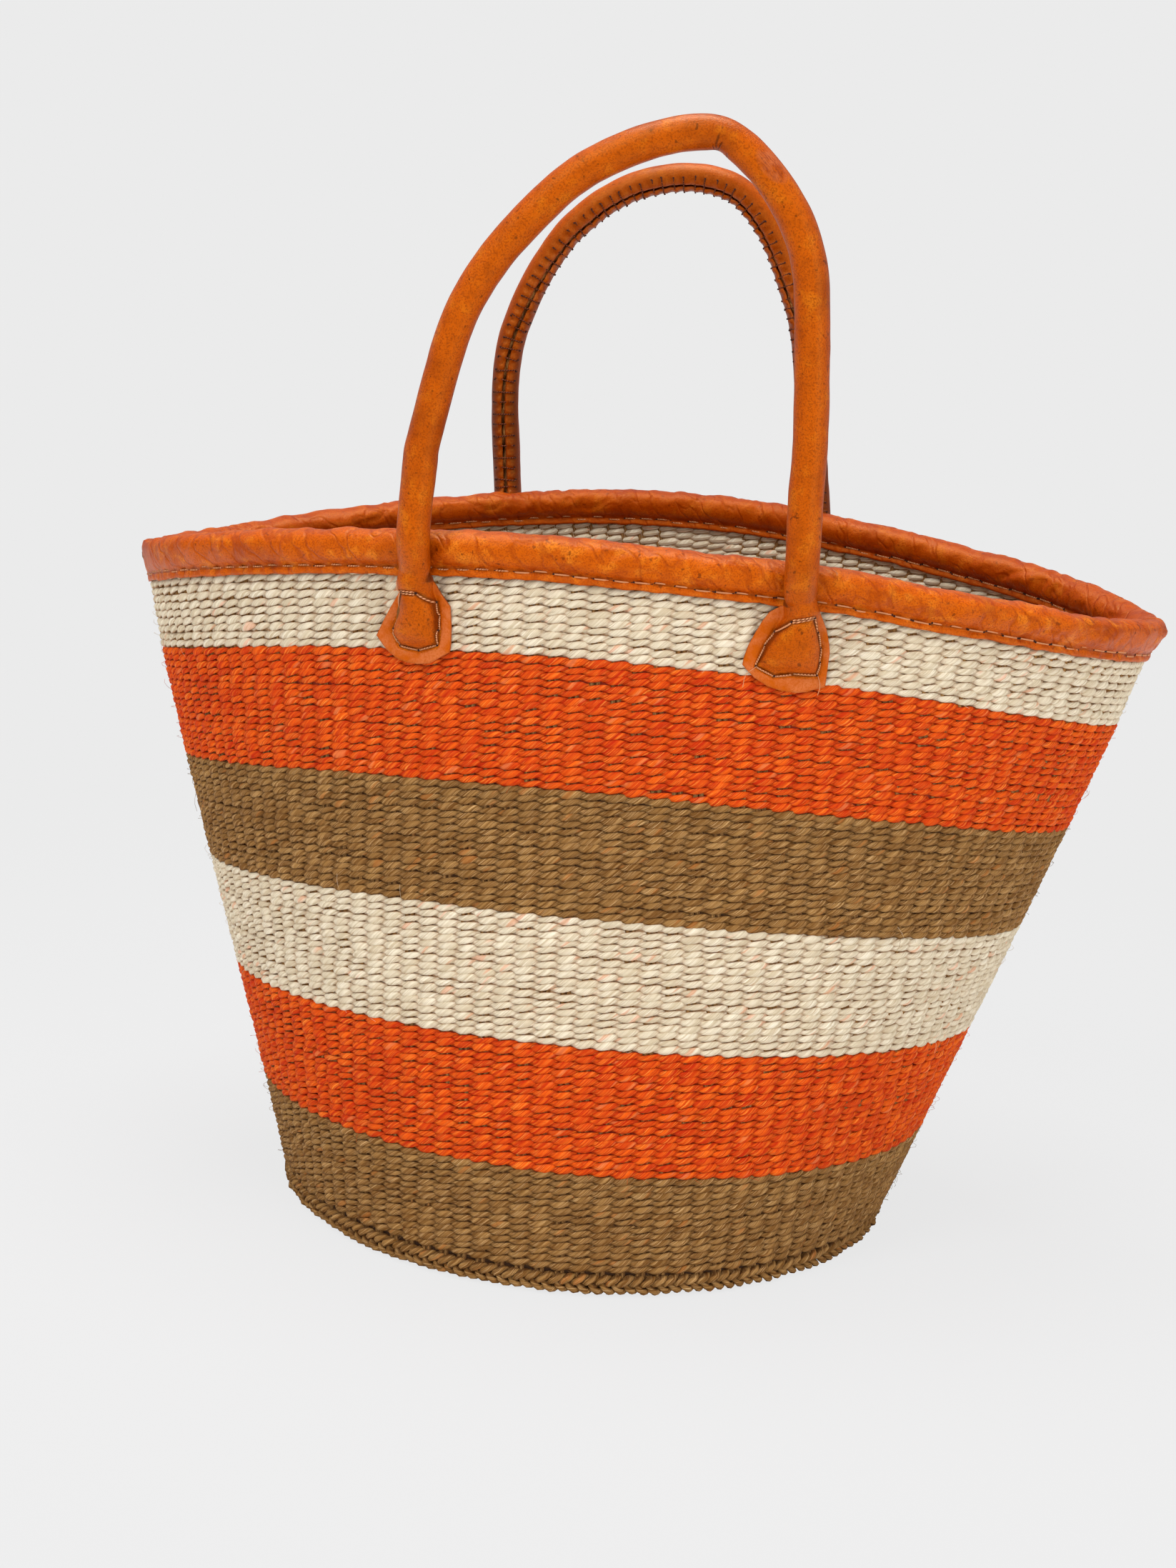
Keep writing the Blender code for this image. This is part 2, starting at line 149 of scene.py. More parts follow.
def sisalMaterial(name, light, main, dark, paintedShade, fleck):
    shader = Shader(name, Roughness=sisal["roughness"], Specular_IOR_Level=sisal["gloss"])
    along, around, tone = shader.parts("strand")
    depth, shade, _ = shader.parts("lie")
    spun = around + along * sisal["twist"]
    fibre = shader.noise(shader.vector(along * 130, spun * sisal["fibreScale"], tone * 40), 1.0, 3.0, 0.65)
    streak = shader.noise(shader.vector(along * 60, spun * sisal["streakScale"], tone * 17), 1.0)
    patch = shader.noise(shader.place(), 30.0)
    flecked = shader.noise(shader.vector(along * 55, spun * 2, tone * 31 + 5), 1.0, 1.0)
    # darker between the streaks that follow the twist: partly the yarn's own tone, partly painted shade between
    # its threads
    body = shader.mix(streak.between(0.32, 0.68), dark, main)
    # painted highlight on the raised fibres over their own paler tone, then painted shade in the gaps between
    # them
    body = shader.mix(fibre.between(0.50, 0.74) * sisal["fibreHighlightShare"], body, light)
    body = shader.mix((1 - fibre.between(0.26, 0.44)) * sisal["fibreGapShadeShare"], body, paintedShade)
    body = shader.mix(shade, body, dark)
    body = shader.mix(patch.between(0.56, 0.74) * sisal["patchShare"], body, dark)
    body = shader.mix(flecked.between(0.66, 0.72) * sisal["fleckShare"], body, fleck)
    body = shader.mix((1 - depth.between(-0.3, 0.55)) * sisal["deepShade"], body, paintedShade)
    beside = abs((around * 2 * math.pi).sine())  # 1 where a strand lies against the next row
    body = shader.mix(beside.between(0.70, 1.0) * sisal["edgeShade"], body, paintedShade)
    return shader.surface(body, height=fibre + streak * 0.8, strength=sisal["bump"], depth=sisal["bumpDepth"])


# The wall's own surface, as the frame has it

wall = {
    "mouthLength": 0.450, "mouthWidth": 0.230, "mouthPower": 1.12, "footDiameter": 0.270,
    "footBack": 0.0055, "height": 0.2971, "rimDrop": 0.0303, "rimDropPower": 1.168, "belly": 0.0051,
    "lean": 0.0195, "liftFrom": 0.84, "endPull": (0.0010, 0.0062),  # pull at the right end, then the left
    # where the top edge stands over its even line: place across and lift, in millimetres, front and back
    "frontLift": ((-225, 5.2), (-183, 5.0), (-158, 4.3), (-135, 3.5), (-114, 3.0), (-94, 2.4), (-57, 1.4),
                  (-23, 0.9), (-7, 0.2), (10, -0.5), (43, -0.8), (60, -0.4), (92, 0.2), (109, -0.1),
                  (126, -1.1), (142, -0.6), (159, 0.1), (177, 0.5), (200, 2.0), (225, 4.8)),
    "backLift": ((-225, 5.2), (-200, 2.8), (-180, 1.8), (-150, 1.8), (-100, 2.4), (-58, 3.2), (-37, 4.2),
                 (0, 4.8), (36, 5.2), (60, 4.7), (88, 3.8), (130, 4.0), (150, 4.4), (170, 5.4), (190, 6.0),
                 (208, 5.8), (225, 4.8)),
}


def mouthTable():
    turn = np.linspace(0, 2 * np.pi, 4001)
    x = wall["mouthLength"] / 2 * np.cos(turn)
    y = wall["mouthWidth"] / 2 * np.sign(np.sin(turn)) * np.abs(np.sin(turn)) ** wall["mouthPower"]
    run = np.concatenate([[0], np.cumsum(np.hypot(np.diff(x), np.diff(y)))])
    return run / run[-1], x, y


mouthRun, mouthX, mouthY = mouthTable()


def wallPoints(share, up, out=0.0):
    # share goes once round from the right end, up is 0 at the foot and 1 at the top, out is off the outer face
    def flat(share):
        turn = share * 2 * np.pi
        edgeX = np.interp(share % 1, mouthRun, mouthX)
        edgeY = np.interp(share % 1, mouthRun, mouthY)
        foot = 1 - up
        swell = 1 + wall["belly"] * 4 * up * foot
        x = swell * (foot * wall["footDiameter"] / 2 * np.cos(turn) + up * edgeX) - foot * wall["footBack"]
        y = swell * (foot * wall["footDiameter"] / 2 * np.sin(turn) + up * edgeY)
        return x, y, edgeX

    x, y, edgeX = flat(share)
    aheadX, aheadY, _ = flat(share + 0.002)
    behindX, behindY, _ = flat(share - 0.002)
    span = np.hypot(aheadX - behindX, aheadY - behindY)
    x = x + (aheadY - behindY) / span * out
    y = y - (aheadX - behindX) / span * out
    end = edgeX / (wall["mouthLength"] / 2)
    rise = wall["rimDrop"] * (1 - end ** 2)
    z = (wall["height"] - wall["rimDrop"]) * up + rise * np.maximum(up, 0) ** wall["rimDropPower"]
    front, back = (np.interp(edgeX, *(np.array(wall[key]) * mm).T) for key in ("frontLift", "backLift"))
    lifted = np.clip((up - wall["liftFrom"]) / (1 - wall["liftFrom"]), 0, 1) ** 1.3
    z = z + np.where(np.asarray(share) % 1 > 0.5, front, back) * lifted
    right, left = wall["endPull"]
    x = x - np.where(end > 0, right, -left) * np.abs(end) ** 10 * np.clip(up, 0, 1) ** 3
    return np.stack(np.broadcast_arrays(x, y, z), -1)


def perimeter(up):
    line = wallPoints(np.arange(400) / 400, up)
    return np.linalg.norm(line - np.roll(line, 1, 0), axis=1).sum()


# Strands: cords of yarn or thread laid along lines

def newObject(name, data):
    item = bpy.data.objects.new(name, data)
    bpy.context.scene.collection.objects.link(item)
    return item


def finished(name, mesh, material, body=None):
    item = newObject(name, mesh)
    mesh.materials.clear()
    mesh.materials.append(material)
    if body:
        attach(item, body)
    return item


def section(halfWide, halfHigh, corners=6):
    curve = bpy.data.curves.new("section", "CURVE")
    spline = curve.splines.new("POLY")
    spline.points.add(corners - 1)
    for index, point in enumerate(spline.points):
        turn = -2 * math.pi * index / corners
        point.co = (halfWide * math.cos(turn), halfHigh * math.sin(turn), 0, 1)
    spline.use_cyclic_u = True
    return newObject("section", curve), corners


def layStrands(name, lines, shape, material, body, radii=None, lies=None, closed=True, twist="Z_UP"):
    # lines are arrays of points, radii scale the section there, and lies give each point its depth and shade
    holder, corners = section(*shape)
    curve = bpy.data.curves.new(name, "CURVE")
    curve.dimensions = "3D"
    curve.twist_mode = twist
    curve.bevel_mode = "OBJECT"
    curve.bevel_object = holder
    curve.use_fill_caps = not closed
    radii = radii or [np.ones(len(line)) for line in lines]
    for line, radius in zip(lines, radii):
        spline = curve.splines.new("POLY")
        spline.points.add(len(line) - 1)
        spline.points.foreach_set("co", np.concatenate([line, np.ones((len(line), 1))], 1).ravel())
        spline.points.foreach_set("radius", radius)
        spline.use_cyclic_u = closed
        spline.use_smooth = True
    item = newObject(name, curve)
    graph = bpy.context.evaluated_depsgraph_get()
    mesh = bpy.data.meshes.new_from_object(item.evaluated_get(graph))
    mesh.name = name
    bpy.data.objects.remove(item)
    bpy.data.objects.remove(holder)
    nameStrands(mesh, lines, corners, lies)
    return finished(name, mesh, material, body)


def layThreads(name, lines, radius, material, body=None, corners=6, radii=None):
    # cords with open ends
    return layStrands(name, lines, (radius, radius, corners), material, body, radii,
                      closed=False, twist="MINIMUM")


def nameStrands(mesh, lines, corners, lies):
    # gives every corner its place along and round its strand, and strips of map that don't overlap
    strand = []
    for index, line in enumerate(lines):
        steps = np.linalg.norm(np.diff(line, axis=0), axis=1)
        along = np.repeat(np.concatenate([[0], np.cumsum(steps)]), corners)
        around = np.tile((np.arange(corners) / corners + 0.5) % 1, len(line))
        strand.append(np.stack([along, around, np.full(len(along), (index * 0.618) % 1)], 1))
    strand = np.concatenate(strand)
    if lies is None:
        lies = [np.tile([1.0, 0.0, 0.0], (len(line), 1)) for line in lines]
    lie = np.repeat(np.concatenate(lies), corners, axis=0)
    for label, data in (("strand", strand), ("lie", lie)):
        attribute = mesh.attributes.new(label, "FLOAT_VECTOR", "POINT")
        full = np.zeros((len(mesh.vertices), 3))
        full[:len(data)] = data[:len(full)]
        attribute.data.foreach_set("vector", full.ravel())
    layer = mesh.uv_layers[0]
    flat = np.empty(len(mesh.loops) * 2)
    layer.data.foreach_get("uv", flat)
    flat = flat.reshape(-1, 2)
    owner = np.empty(len(mesh.loops), int)
    mesh.loops.foreach_get("vertex_index", owner)
    starts = np.cumsum([0] + [len(line) * corners for line in lines[:-1]])
    which = np.searchsorted(starts, owner, side="right") - 1
    flat[:, 1] = (which + 0.05 + flat[:, 1] * 0.9) / len(lines)
    layer.data.foreach_set("uv", flat.ravel())
    layer.name = "OFBake"


# Camera, light and floor

studio = {
    "cameraPlace": (0.1045, -0.9732, 0.3807),
    "cameraRight": (0.98891682, 0.13435713, 0.06317971),
    "cameraUp": (-0.08819599, 0.18928424, 0.97795345),
    "lens": 51.72, "sensorWidth": 36, "clipStart": 0.01,
    "worldColour": (0.92, 0.93, 0.95, 1), "worldStrength": 0.45,
    "floorSize": 6.0, "floorColour": (0.80, 0.80, 0.81), "paleColour": rgb(235, 235, 235),
    "shadowTo": 0.2, "glowFrom": 0.9,  # the floor's own shading fades out between these distances
    "lampsAim": (0, 0, 0.2),
    "lamps": (  # name, place, size, power
        ("keyLight", (-0.9, -1.4, 2.0), 0.8, 25.0),
        ("frontLight", (-0.4, -1.9, 0.95), 1.0, 5.0),
        ("fillLight", (1.5, -1.3, 0.8), 1.4, 17.0),
        ("topLight", (-0.15, 0.1, 1.9), 0.9, 25.0),
    ),
}


def stageMaterial(name, share, spread):
    # the floor glows evenly to the camera far off, and keeps a little of its shadow near the basket
    shader = Shader(name, Roughness=0.9, Specular_IOR_Level=0.0)
    shader.surface(studio["floorColour"])
    glow = shader.node("ShaderNodeEmission", None, {"Color": studio["paleColour"], "Strength": 1.0})
    seen = shader.node("ShaderNodeLightPath", output="Is Camera Ray")
    away = shader.node("ShaderNodeVectorMath", {"operation": "LENGTH"}, {0: shader.place()}, "Value")
    share = share + away.between(studio["shadowTo"], studio["glowFrom"]) * spread
    plain = Value(shader, shader.principled.outputs[0])
    mixed = shader.node("ShaderNodeMixShader", None, {0: seen * share, 1: plain, 2: glow})
    shader.tree.links.new(mixed.socket, shader.outlet.inputs["Surface"])
    return shader.material


def addCamera():
    camera = bpy.data.cameras.new("camera")
    camera.lens = studio["lens"]
    camera.sensor_width = studio["sensorWidth"]
    camera.clip_start = studio["clipStart"]
    holder = newObject("camera", camera)
    right = Vector(studio["cameraRight"])
    up = Vector(studio["cameraUp"])
    turn = Matrix((right, up, right.cross(up))).transposed().to_4x4()
    holder.matrix_world = Matrix.Translation(Vector(studio["cameraPlace"])) @ turn
    bpy.context.scene.camera = holder


def addLamps():
    for name, place, size, power in studio["lamps"]:
        lamp = bpy.data.lights.new(name, "AREA")
        lamp.shape = "SQUARE"
        lamp.size = size
        lamp.energy = power
        aim = Vector(studio["lampsAim"]) - Vector(place)
        item = newObject(name, lamp)
        item.matrix_world = aim.to_track_quat("-Z", "Y").to_matrix().to_4x4()
        item.matrix_world.translation = Vector(place)


def addWorld():
    world = bpy.data.worlds.new("studio")
    world.use_nodes = True
    nodes, links = world.node_tree.nodes, world.node_tree.links
    lit = nodes["Background"]
    lit.inputs["Color"].default_value = studio["worldColour"]
    lit.inputs["Strength"].default_value = studio["worldStrength"]
    pale = nodes.new("ShaderNodeBackground")  # what the camera sees past the backdrop's edges
    pale.inputs["Color"].default_value = (*studio["paleColour"], 1)
    seen = nodes.new("ShaderNodeLightPath").outputs["Is Camera Ray"]
    mixed = nodes.new("ShaderNodeMixShader")
    for index, socket in enumerate((seen, lit.outputs[0], pale.outputs[0])):
        links.new(socket, mixed.inputs[index])
    links.new(mixed.outputs[0], nodes["World Output"].inputs["Surface"])
    bpy.context.scene.world = world
    bpy.context.scene.view_settings.view_transform = "Standard"


def stagePlane(name, material, upright):
    size = studio["floorSize"]
    bm = bmesh.new()
    bmesh.ops.create_grid(bm, x_segments=1, y_segments=1, size=size)
    if upright:
        bmesh.ops.rotate(bm, verts=bm.verts, matrix=Matrix.Rotation(math.pi / 2, 3, "X"))
        bmesh.ops.translate(bm, verts=bm.verts, vec=(0, size, 0))
    mesh = bpy.data.meshes.new(name)
    bm.to_mesh(mesh)
    bm.free()
    item = finished(name, mesh, material)


addCamera()
addLamps()
addWorld()
stagePlane("floor", stageMaterial("paleFloor", 0.92, 0.08), upright=False)
stagePlane("backdrop", stageMaterial("paleBackdrop", 1.0, 0.0), upright=True)
print("studio ready")

yarns = {  # colours of its pale raised fibres, with their painted highlight; the yarn; its darker tone, as painted shade between its streaks and in random patches; the painted shade in its gaps and crevices; and its flecks
    "cream": (rgb(255, 248, 232), rgb(236, 224, 198), rgb(202, 184, 152), rgb(170, 116, 72), rgb(226, 110, 44)),
    "orange": (rgb(255, 168, 68), rgb(236, 97, 12), rgb(190, 42, 0), rgb(142, 12, 0), rgb(240, 150, 90)),
    "brown": (rgb(230, 190, 134), rgb(168, 125, 70), rgb(112, 72, 28), rgb(56, 22, 2), rgb(196, 116, 50)),
    "rope": (rgb(200, 150, 88), rgb(166, 112, 56), rgb(120, 72, 30), rgb(70, 30, 8), rgb(190, 110, 60)),
    "warp": (rgb(196, 156, 100), rgb(164, 122, 70), rgb(124, 86, 46), rgb(84, 50, 26), rgb(190, 110, 50)),
}
materials = {name: sisalMaterial(name + "Sisal", *tints) for name, tints in yarns.items()}

# The twined wall: every row is a pair of strands wound round each other, over the warps and under them

twining = {
    "rowPitch": 0.0030, "warpPitch": 0.0083, "wallMiddle": 0.0025, "lowestRow": 0.0101, "topGap": 0.0075,
    "swing": 0.00115, "flatness": 0.95, "climb": 0.00062, "halfDeep": 0.00122, "halfHigh": 0.00166,
    "thinAtCross": 0.63, "swellPower": 0.9, "uneven": 0.12, "unevenMost": 1.6, "tilt": 0.18, "tiltMost": 1.5,
    "drift": 0.07, "wobble": 0.00014, "shade": 0.4,
    "steps": (-0.5, -0.34, -0.17, 0.0, 0.17, 0.34, 0.5, 0.68, 1.0, 1.32),  # over one warp, then behind the next
    "coarseSteps": (-0.5, -0.25, 0.0, 0.25, 0.5, 1.0),
}
bands = (  # name, height and yarn, from the foot up
    ("brown_band_lower", 0.0506, "brown"), ("orange_band_lower", 0.0522, "orange"),
    ("cream_band_lower", 0.0517, "cream"), ("brown_band_upper", 0.0495, "brown"),
    ("orange_band_upper", 0.0511, "orange"), ("cream_band_upper", 0.0420, "cream"),
)


def bandName(node):
    yarn, _, level = node.split("_")
    return yarn + level.capitalize()


def softNoise(count, passes):  # random numbers round a ring, smoothed
    values = random.normal(size=count)
    for _ in range(passes):
        values = (np.roll(values, 1) + values * 2 + np.roll(values, -1)) / 4
    return values / max(values.std(), 1e-9)


def twinedPair(length, place, start=0.75, steps="steps"):
    # two strands for one row: place(share, out, rise) gives the points, share start is the front's middle
    warps = max(4, 2 * round(length / twining["warpPitch"] / 2))
    slot = np.arange(warps)
    most, tiltMost = twining["unevenMost"], twining["tiltMost"]
    swell = 1 + twining["uneven"] * random.normal(size=warps).clip(-most, most)
    tilt = 1 + twining["tilt"] * random.normal(size=warps).clip(-tiltMost, tiltMost)
    drift = twining["drift"] * softNoise(warps, 1)
    tone = random.random(warps) * twining["shade"]
    wobble = softNoise(warps, 4) * twining["wobble"]
    lines, radii, lies = [], [], []
    for half in (0, 1):
        phase = (np.arange(warps // 2)[:, None] * 2 + np.array(twining[steps]) - half).ravel()
        near = np.round(phase).astype(int) % warps
        ring = lambda values: np.interp(phase % warps, np.append(slot, warps), np.append(values, values[0]))
        turn = np.pi * (phase + half)
        cross, rise = np.cos(turn), np.sin(turn)
        out = twining["swing"] * np.sign(cross) * np.abs(cross) ** twining["flatness"]
        up = twining["climb"] * rise * ring(tilt) + ring(wobble)
        lines.append(place(start + (phase + ring(drift)) / warps, out, up))
        thick = (1 - twining["thinAtCross"]) * np.abs(cross) ** twining["swellPower"] + twining["thinAtCross"]
        radii.append(thick * swell[near])
        # the first number, how far the strand stands out, paints shade where it dives behind a warp
        lies.append(np.stack([np.abs(cross), tone[near], rise], 1))
    return lines, radii, lies


def buildBand(node, lowest, highest, yarn):
    rows = max(2, round((highest - lowest) / twining["rowPitch"]))
    pitch = (highest - lowest) / rows
    halves = (range(0, rows // 2), range(rows // 2, rows))
    for label, own in zip(("Lower", "Upper"), halves):
        lines, radii, lies = [], [], []
        for row in own:
            middle = lowest + (row + 0.5) * pitch

            def place(share, out, rise):
                return wallPoints(share, (middle + rise) / wall["height"], out - twining["wallMiddle"])

            around = perimeter(middle / wall["height"])
            pair = twinedPair(around, place, 0.75 - wall["lean"] * middle / wall["height"] / around)
            lines += pair[0]
            radii += pair[1]
            lies += pair[2]
        shape = (twining["halfDeep"], twining["halfHigh"] * pitch / twining["rowPitch"])
        name = bandName(node) + "Weave" + label
        item = layStrands(name, lines, shape, materials[yarn], "basket", radii, lies)
        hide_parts(node)


def buildWall():
    height = 0
    for node, size, yarn in bands:
        bottom = height or twining["lowestRow"]
        height += size
        top = height - twining["topGap"] if node == bands[-1][0] else height
        buildBand(node, bottom, top, yarn)


buildWall()
print("wall twined")

# Warps: the upright cords inside the wall

warps = {
    "most": 72, "fewestPoints": 4, "points": 20, "radius": 0.00115, "corners": 5, "apart": 0.13,
    "low": 0.0035, "high": 0.288,
}


def buildWarps():
    ups = np.linspace(warps["low"], warps["high"], warps["points"]) / wall["height"]
    counts = np.array([perimeter(up) for up in ups]) / twining["warpPitch"]
    lines = []
    for index in range(-warps["most"], warps["most"]):
        inside = abs(index) <= counts / 2
        if inside.sum() < warps["fewestPoints"]:
            continue
        start = 0.75 - wall["lean"] * ups[inside] / counts[inside] / twining["warpPitch"]
        for beside in (-warps["apart"], warps["apart"]):
            share = start + (index + beside) / counts[inside]
            lines.append(wallPoints(share, ups[inside], -twining["wallMiddle"]))
    item = layThreads("warpCords", lines, warps["radius"], materials["warp"], "basket", warps["corners"])


buildWarps()

# The foot: a twined floor and a braid round it

foot = {
    "rings": 42, "ringPitch": 0.00298, "firstRing": 0.0045, "middleHeight": 0.0027, "floorCorners": 5,
    "braidRadius": 0.1331, "braidTurns": 60, "turnPoints": 12, "braidHeight": 0.0046, "braidHigh": 0.0027,
    "braidDeep": 0.0017, "strandDeep": 0.0019, "strandHigh": 0.0014, "braidCorners": 7,
    "wander": 0.00035, "wanderUp": 0.00012, "shade": 0.2,
}


def buildFloorWeave():
    lines, radii, lies = [], [], []
    for ring in range(foot["rings"]):
        radius = foot["firstRing"] + ring * foot["ringPitch"]

        def place(share, out, rise):
            turn = share * 2 * np.pi
            x = (radius + rise) * np.cos(turn) - wall["footBack"]
            return np.stack([x, (radius + rise) * np.sin(turn), foot["middleHeight"] - out], -1)

        pair = twinedPair(radius * 2 * np.pi, place, steps="coarseSteps")
        lines += pair[0]
        radii += pair[1]
        lies += pair[2]
    shape = (twining["halfHigh"], twining["halfDeep"], foot["floorCorners"])
    item = layStrands("floorWeave", lines, shape, materials["brown"], "basket", radii, lies)
    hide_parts("base_disc")


def buildBraid():
    count = foot["braidTurns"] * foot["turnPoints"]
    share = np.arange(count) / count
    turn = share * 2 * np.pi
    lines, lies = [], []
    for strand in range(3):
        phase = (share * foot["braidTurns"] + strand / 3) * 2 * np.pi
        inOut = np.sin(2 * phase)
        radius = foot["braidRadius"] + foot["braidDeep"] * inOut + softNoise(count, 6) * foot["wander"]
        z = foot["braidHeight"] + foot["braidHigh"] * np.sin(phase) + softNoise(count, 6) * foot["wanderUp"]
        x = radius * np.cos(turn) - wall["footBack"]
        lines.append(np.stack([x, radius * np.sin(turn), z], -1))
        # the first number paints shade where a strand of the braid turns inwards
        lies.append(np.stack([0.75 + 0.25 * inOut, np.full(count, foot["shade"]), np.zeros(count)], 1))
    shape = (foot["strandDeep"], foot["strandHigh"], foot["braidCorners"])
    item = layStrands("footBraid", lines, shape, materials["brown"], "basket", None, lies)
    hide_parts("base_braid")


buildFloorWeave()
buildBraid()
print("foot twined")

# Leather: sheets made from a grid of points, then given their thickness

leather = {
    "gloss": 0.44, "glossTint": (1.0, 0.56, 0.12, 1.0), "bump": 0.5, "bumpDepth": 0.0005,
    "blotchScale": 34.0, "cloudScale": 130.0, "spotScale": 420.0, "poreScale": 1100.0, "grainScale": 1500.0,
    "grainShare": 0.65, "spotShare": 0.7, "backShadeShare": 0.7, "flangeShare": 0.85, "grooveAndLowSideShade": 0.75,
    "crackHalf": 0.0006, "crackShare": 0.8, "crackDepth": 1.5,
    "rubbedAt": 0.022, "rubbedShare": 0.75, "rubbedColour": rgb(112, 34, 26),  # on from the first crack
}


def leatherMaterial(name, tints, roughness, creased, mottled, innerShade=0.0, marks=()):
    light, main, dark, flange = tints
    deep = dimmed(dark, 0.45)
    shader = Shader(name, Specular_IOR_Level=leather["gloss"], Specular_Tint=leather["glossTint"])
    place = shader.place()
    across, run, flat = shader.parts("lay")
    folded = shader.noise(shader.vector(run * 75 + across * 1.8, across * 2.4, 0), 1.0, 2.0, 0.55)
    fine = shader.noise(shader.vector(run * 210 - across * 4, across * 7, 7), 1.0)
    ridge = abs(folded - 0.5).between(0, 0.05)
    crinkle = abs(fine - 0.5).between(0, 0.06)
    blotch = shader.noise(place, leather["blotchScale"], 3.0, 0.6)
    cloud = shader.noise(place, leather["cloudScale"], 4.0, 0.62)
    grain = shader.noise(place, leather["grainScale"], 3.0, 0.6)
    spot = shader.noise(place, leather["spotScale"], 1.0)
    pores = shader.node("ShaderNodeTexVoronoi", {"feature": "DISTANCE_TO_EDGE"},
                        {"Vector": place, "Scale": leather["poreScale"]}, "Distance")
    body = shader.mix((1 - blotch.between(0.28, 0.52)) * mottled, main, dark)
    body = shader.mix(cloud.between(0.50, 0.72) * mottled, body, light)
    body = shader.mix((1 - cloud.between(0.28, 0.46)) * mottled * 0.7, body, dark)
    body = shader.mix((1 - grain.between(0.36, 0.54)) * leather["grainShare"], body, dark)
    body = shader.mix(spot.between(0.68, 0.75) * leather["spotShare"], body, deep)
    # painted shade along the creases' lines
    body = shader.mix((1 - ridge) * creased, body, dark)
    # painted shade: darker where the lay's first number is large, round the back of a grip's tube towards the
    # basket, and a little on the rim's inner lip
    body = shader.mix(abs(across).between(0.9, 2.3) * leather["backShadeShare"], body, dark)
    raw = shader.mix(cloud.between(0.36, 0.62), main, flange)
    raw = shader.mix((1 - grain.between(0.34, 0.60)) * 0.55, raw, main)
    body = shader.mix(flat.between(0.2, 0.8) * leather["flangeShare"], body, raw)
    # painted shade where the lay's third number is negative: in the grooves along the stitches, and low down on a
    # grip's side towards the basket
    body = shader.mix((0 - flat).between(0.1, 0.8) * leather["grooveAndLowSideShade"], body, deep)
    height = grain * 0.5 + pores.atMost(0.12) * 0.7 + cloud + ridge * creased * 2.2 + crinkle * creased * 0.5
    if innerShade:
        body = shader.mix(across.between(0.44, 0.62) * innerShade, body, dark)
    for at, low, high, slope in marks:  # cracks where the grip was bent, by place along, angle round and slant
        off = abs(run - at - across * slope - (cloud - 0.5) * 0.004)
        inside = across.between(low - 0.25, low + 0.1) * (1 - across.between(high - 0.1, high + 0.25))
        crack = (1 - off.between(0.0001, leather["crackHalf"])) * inside
        body = shader.mix(crack * leather["crackShare"], body, deep)
        height = height - crack * leather["crackDepth"]
    if marks:  # a rubbed patch beside them
        away = ((run - marks[0][0] - leather["rubbedAt"]) * 140) ** 2 + ((across + 0.55) * 1.5) ** 2
        body = shader.mix((1 - away.between(0.25, 1.4)) * cloud.between(0.40, 0.56) * 0.7, body, flange)
        rubbed = (1 - away.between(0.3, 1.4)) * (1 - crinkle * 0.7)
        body = shader.mix(rubbed * leather["rubbedShare"], body, leather["rubbedColour"])
    rough = roughness + (cloud - 0.5) * 0.2 + flat.between(0.2, 0.8) * 0.2
    return shader.surface(body, rough, height, leather["bump"], leather["bumpDepth"])


thread = {
    "roughness": 0.7, "gloss": 0.2, "pliesAlong": 5200, "pliesAround": 6.3, "bump": 0.6, "bumpDepth": 0.0002,
}


def threadMaterial(name, light, dark):
    shader = Shader(name, Roughness=thread["roughness"], Specular_IOR_Level=thread["gloss"])
    along, around, _ = shader.parts("strand")
    ply = (along * thread["pliesAlong"] + around * thread["pliesAround"]).sine()
    # lighter on the plies and darker between them: painted highlight and painted shade that follow the plies'
    # bump
    body = shader.mix(ply.between(-0.9, 0.7), dark, light)
    return shader.surface(body, height=ply, strength=thread["bump"], depth=thread["bumpDepth"])


# a dark mottled colour, for the painted shade sheets and the painted shade in stitch holes
def plainDark(name, colour):
    shader = Shader(name, Roughness=0.9)
    return shader.surface(shader.mix(shader.noise(shader.place(), 600.0), colour, dimmed(colour, 0.4)))


# light, main, dark, flange
gripTints = (rgb(208, 114, 14), rgb(184, 78, 0), rgb(124, 42, 0), rgb(196, 104, 58))
rimTints = (rgb(226, 130, 30), rgb(192, 82, 0), rgb(140, 40, 0), rgb(200, 94, 30))
leathers = {
    "rim": leatherMaterial("rimLeather", rimTints, 0.42, creased=0.45, mottled=0.6, innerShade=0.55),
    "back": leatherMaterial("backGripLeather", gripTints, 0.36, creased=0.03, mottled=0.5),
    "front": leatherMaterial("frontGripLeather", gripTints, 0.36, creased=0.03, mottled=0.5, marks=(
        (0.2290, 0.1, 2.2, 0.0008), (0.2322, 0.5, 2.0, -0.0010), (0.2266, 0.9, 1.9, 0.0016),
        (0.2350, 1.1, 2.3, 0.0006))),
}
# painted shade: the colours of the sheets seen through the weave's gaps
shadeSheetColours = {
    "cream": plainDark("creamShadeSheet", rgb(206, 164, 120)),
    "orange": plainDark("orangeShadeSheet", rgb(160, 44, 6)),
    "brown": plainDark("brownShadeSheet", rgb(92, 58, 26)),
}
threads = {
    "tan": threadMaterial("tanThread", rgb(222, 156, 108), rgb(158, 90, 50)),
    # the lacing's thread: partly its own dark colour, partly painted shade of the seam it lies in
    "lace": threadMaterial("shadedLaceThread", rgb(124, 62, 32), rgb(60, 22, 8)),
    # painted shade: dark plugs in the stitch holes
    "hole": plainDark("paintedHoleShade", rgb(52, 16, 6)),
}


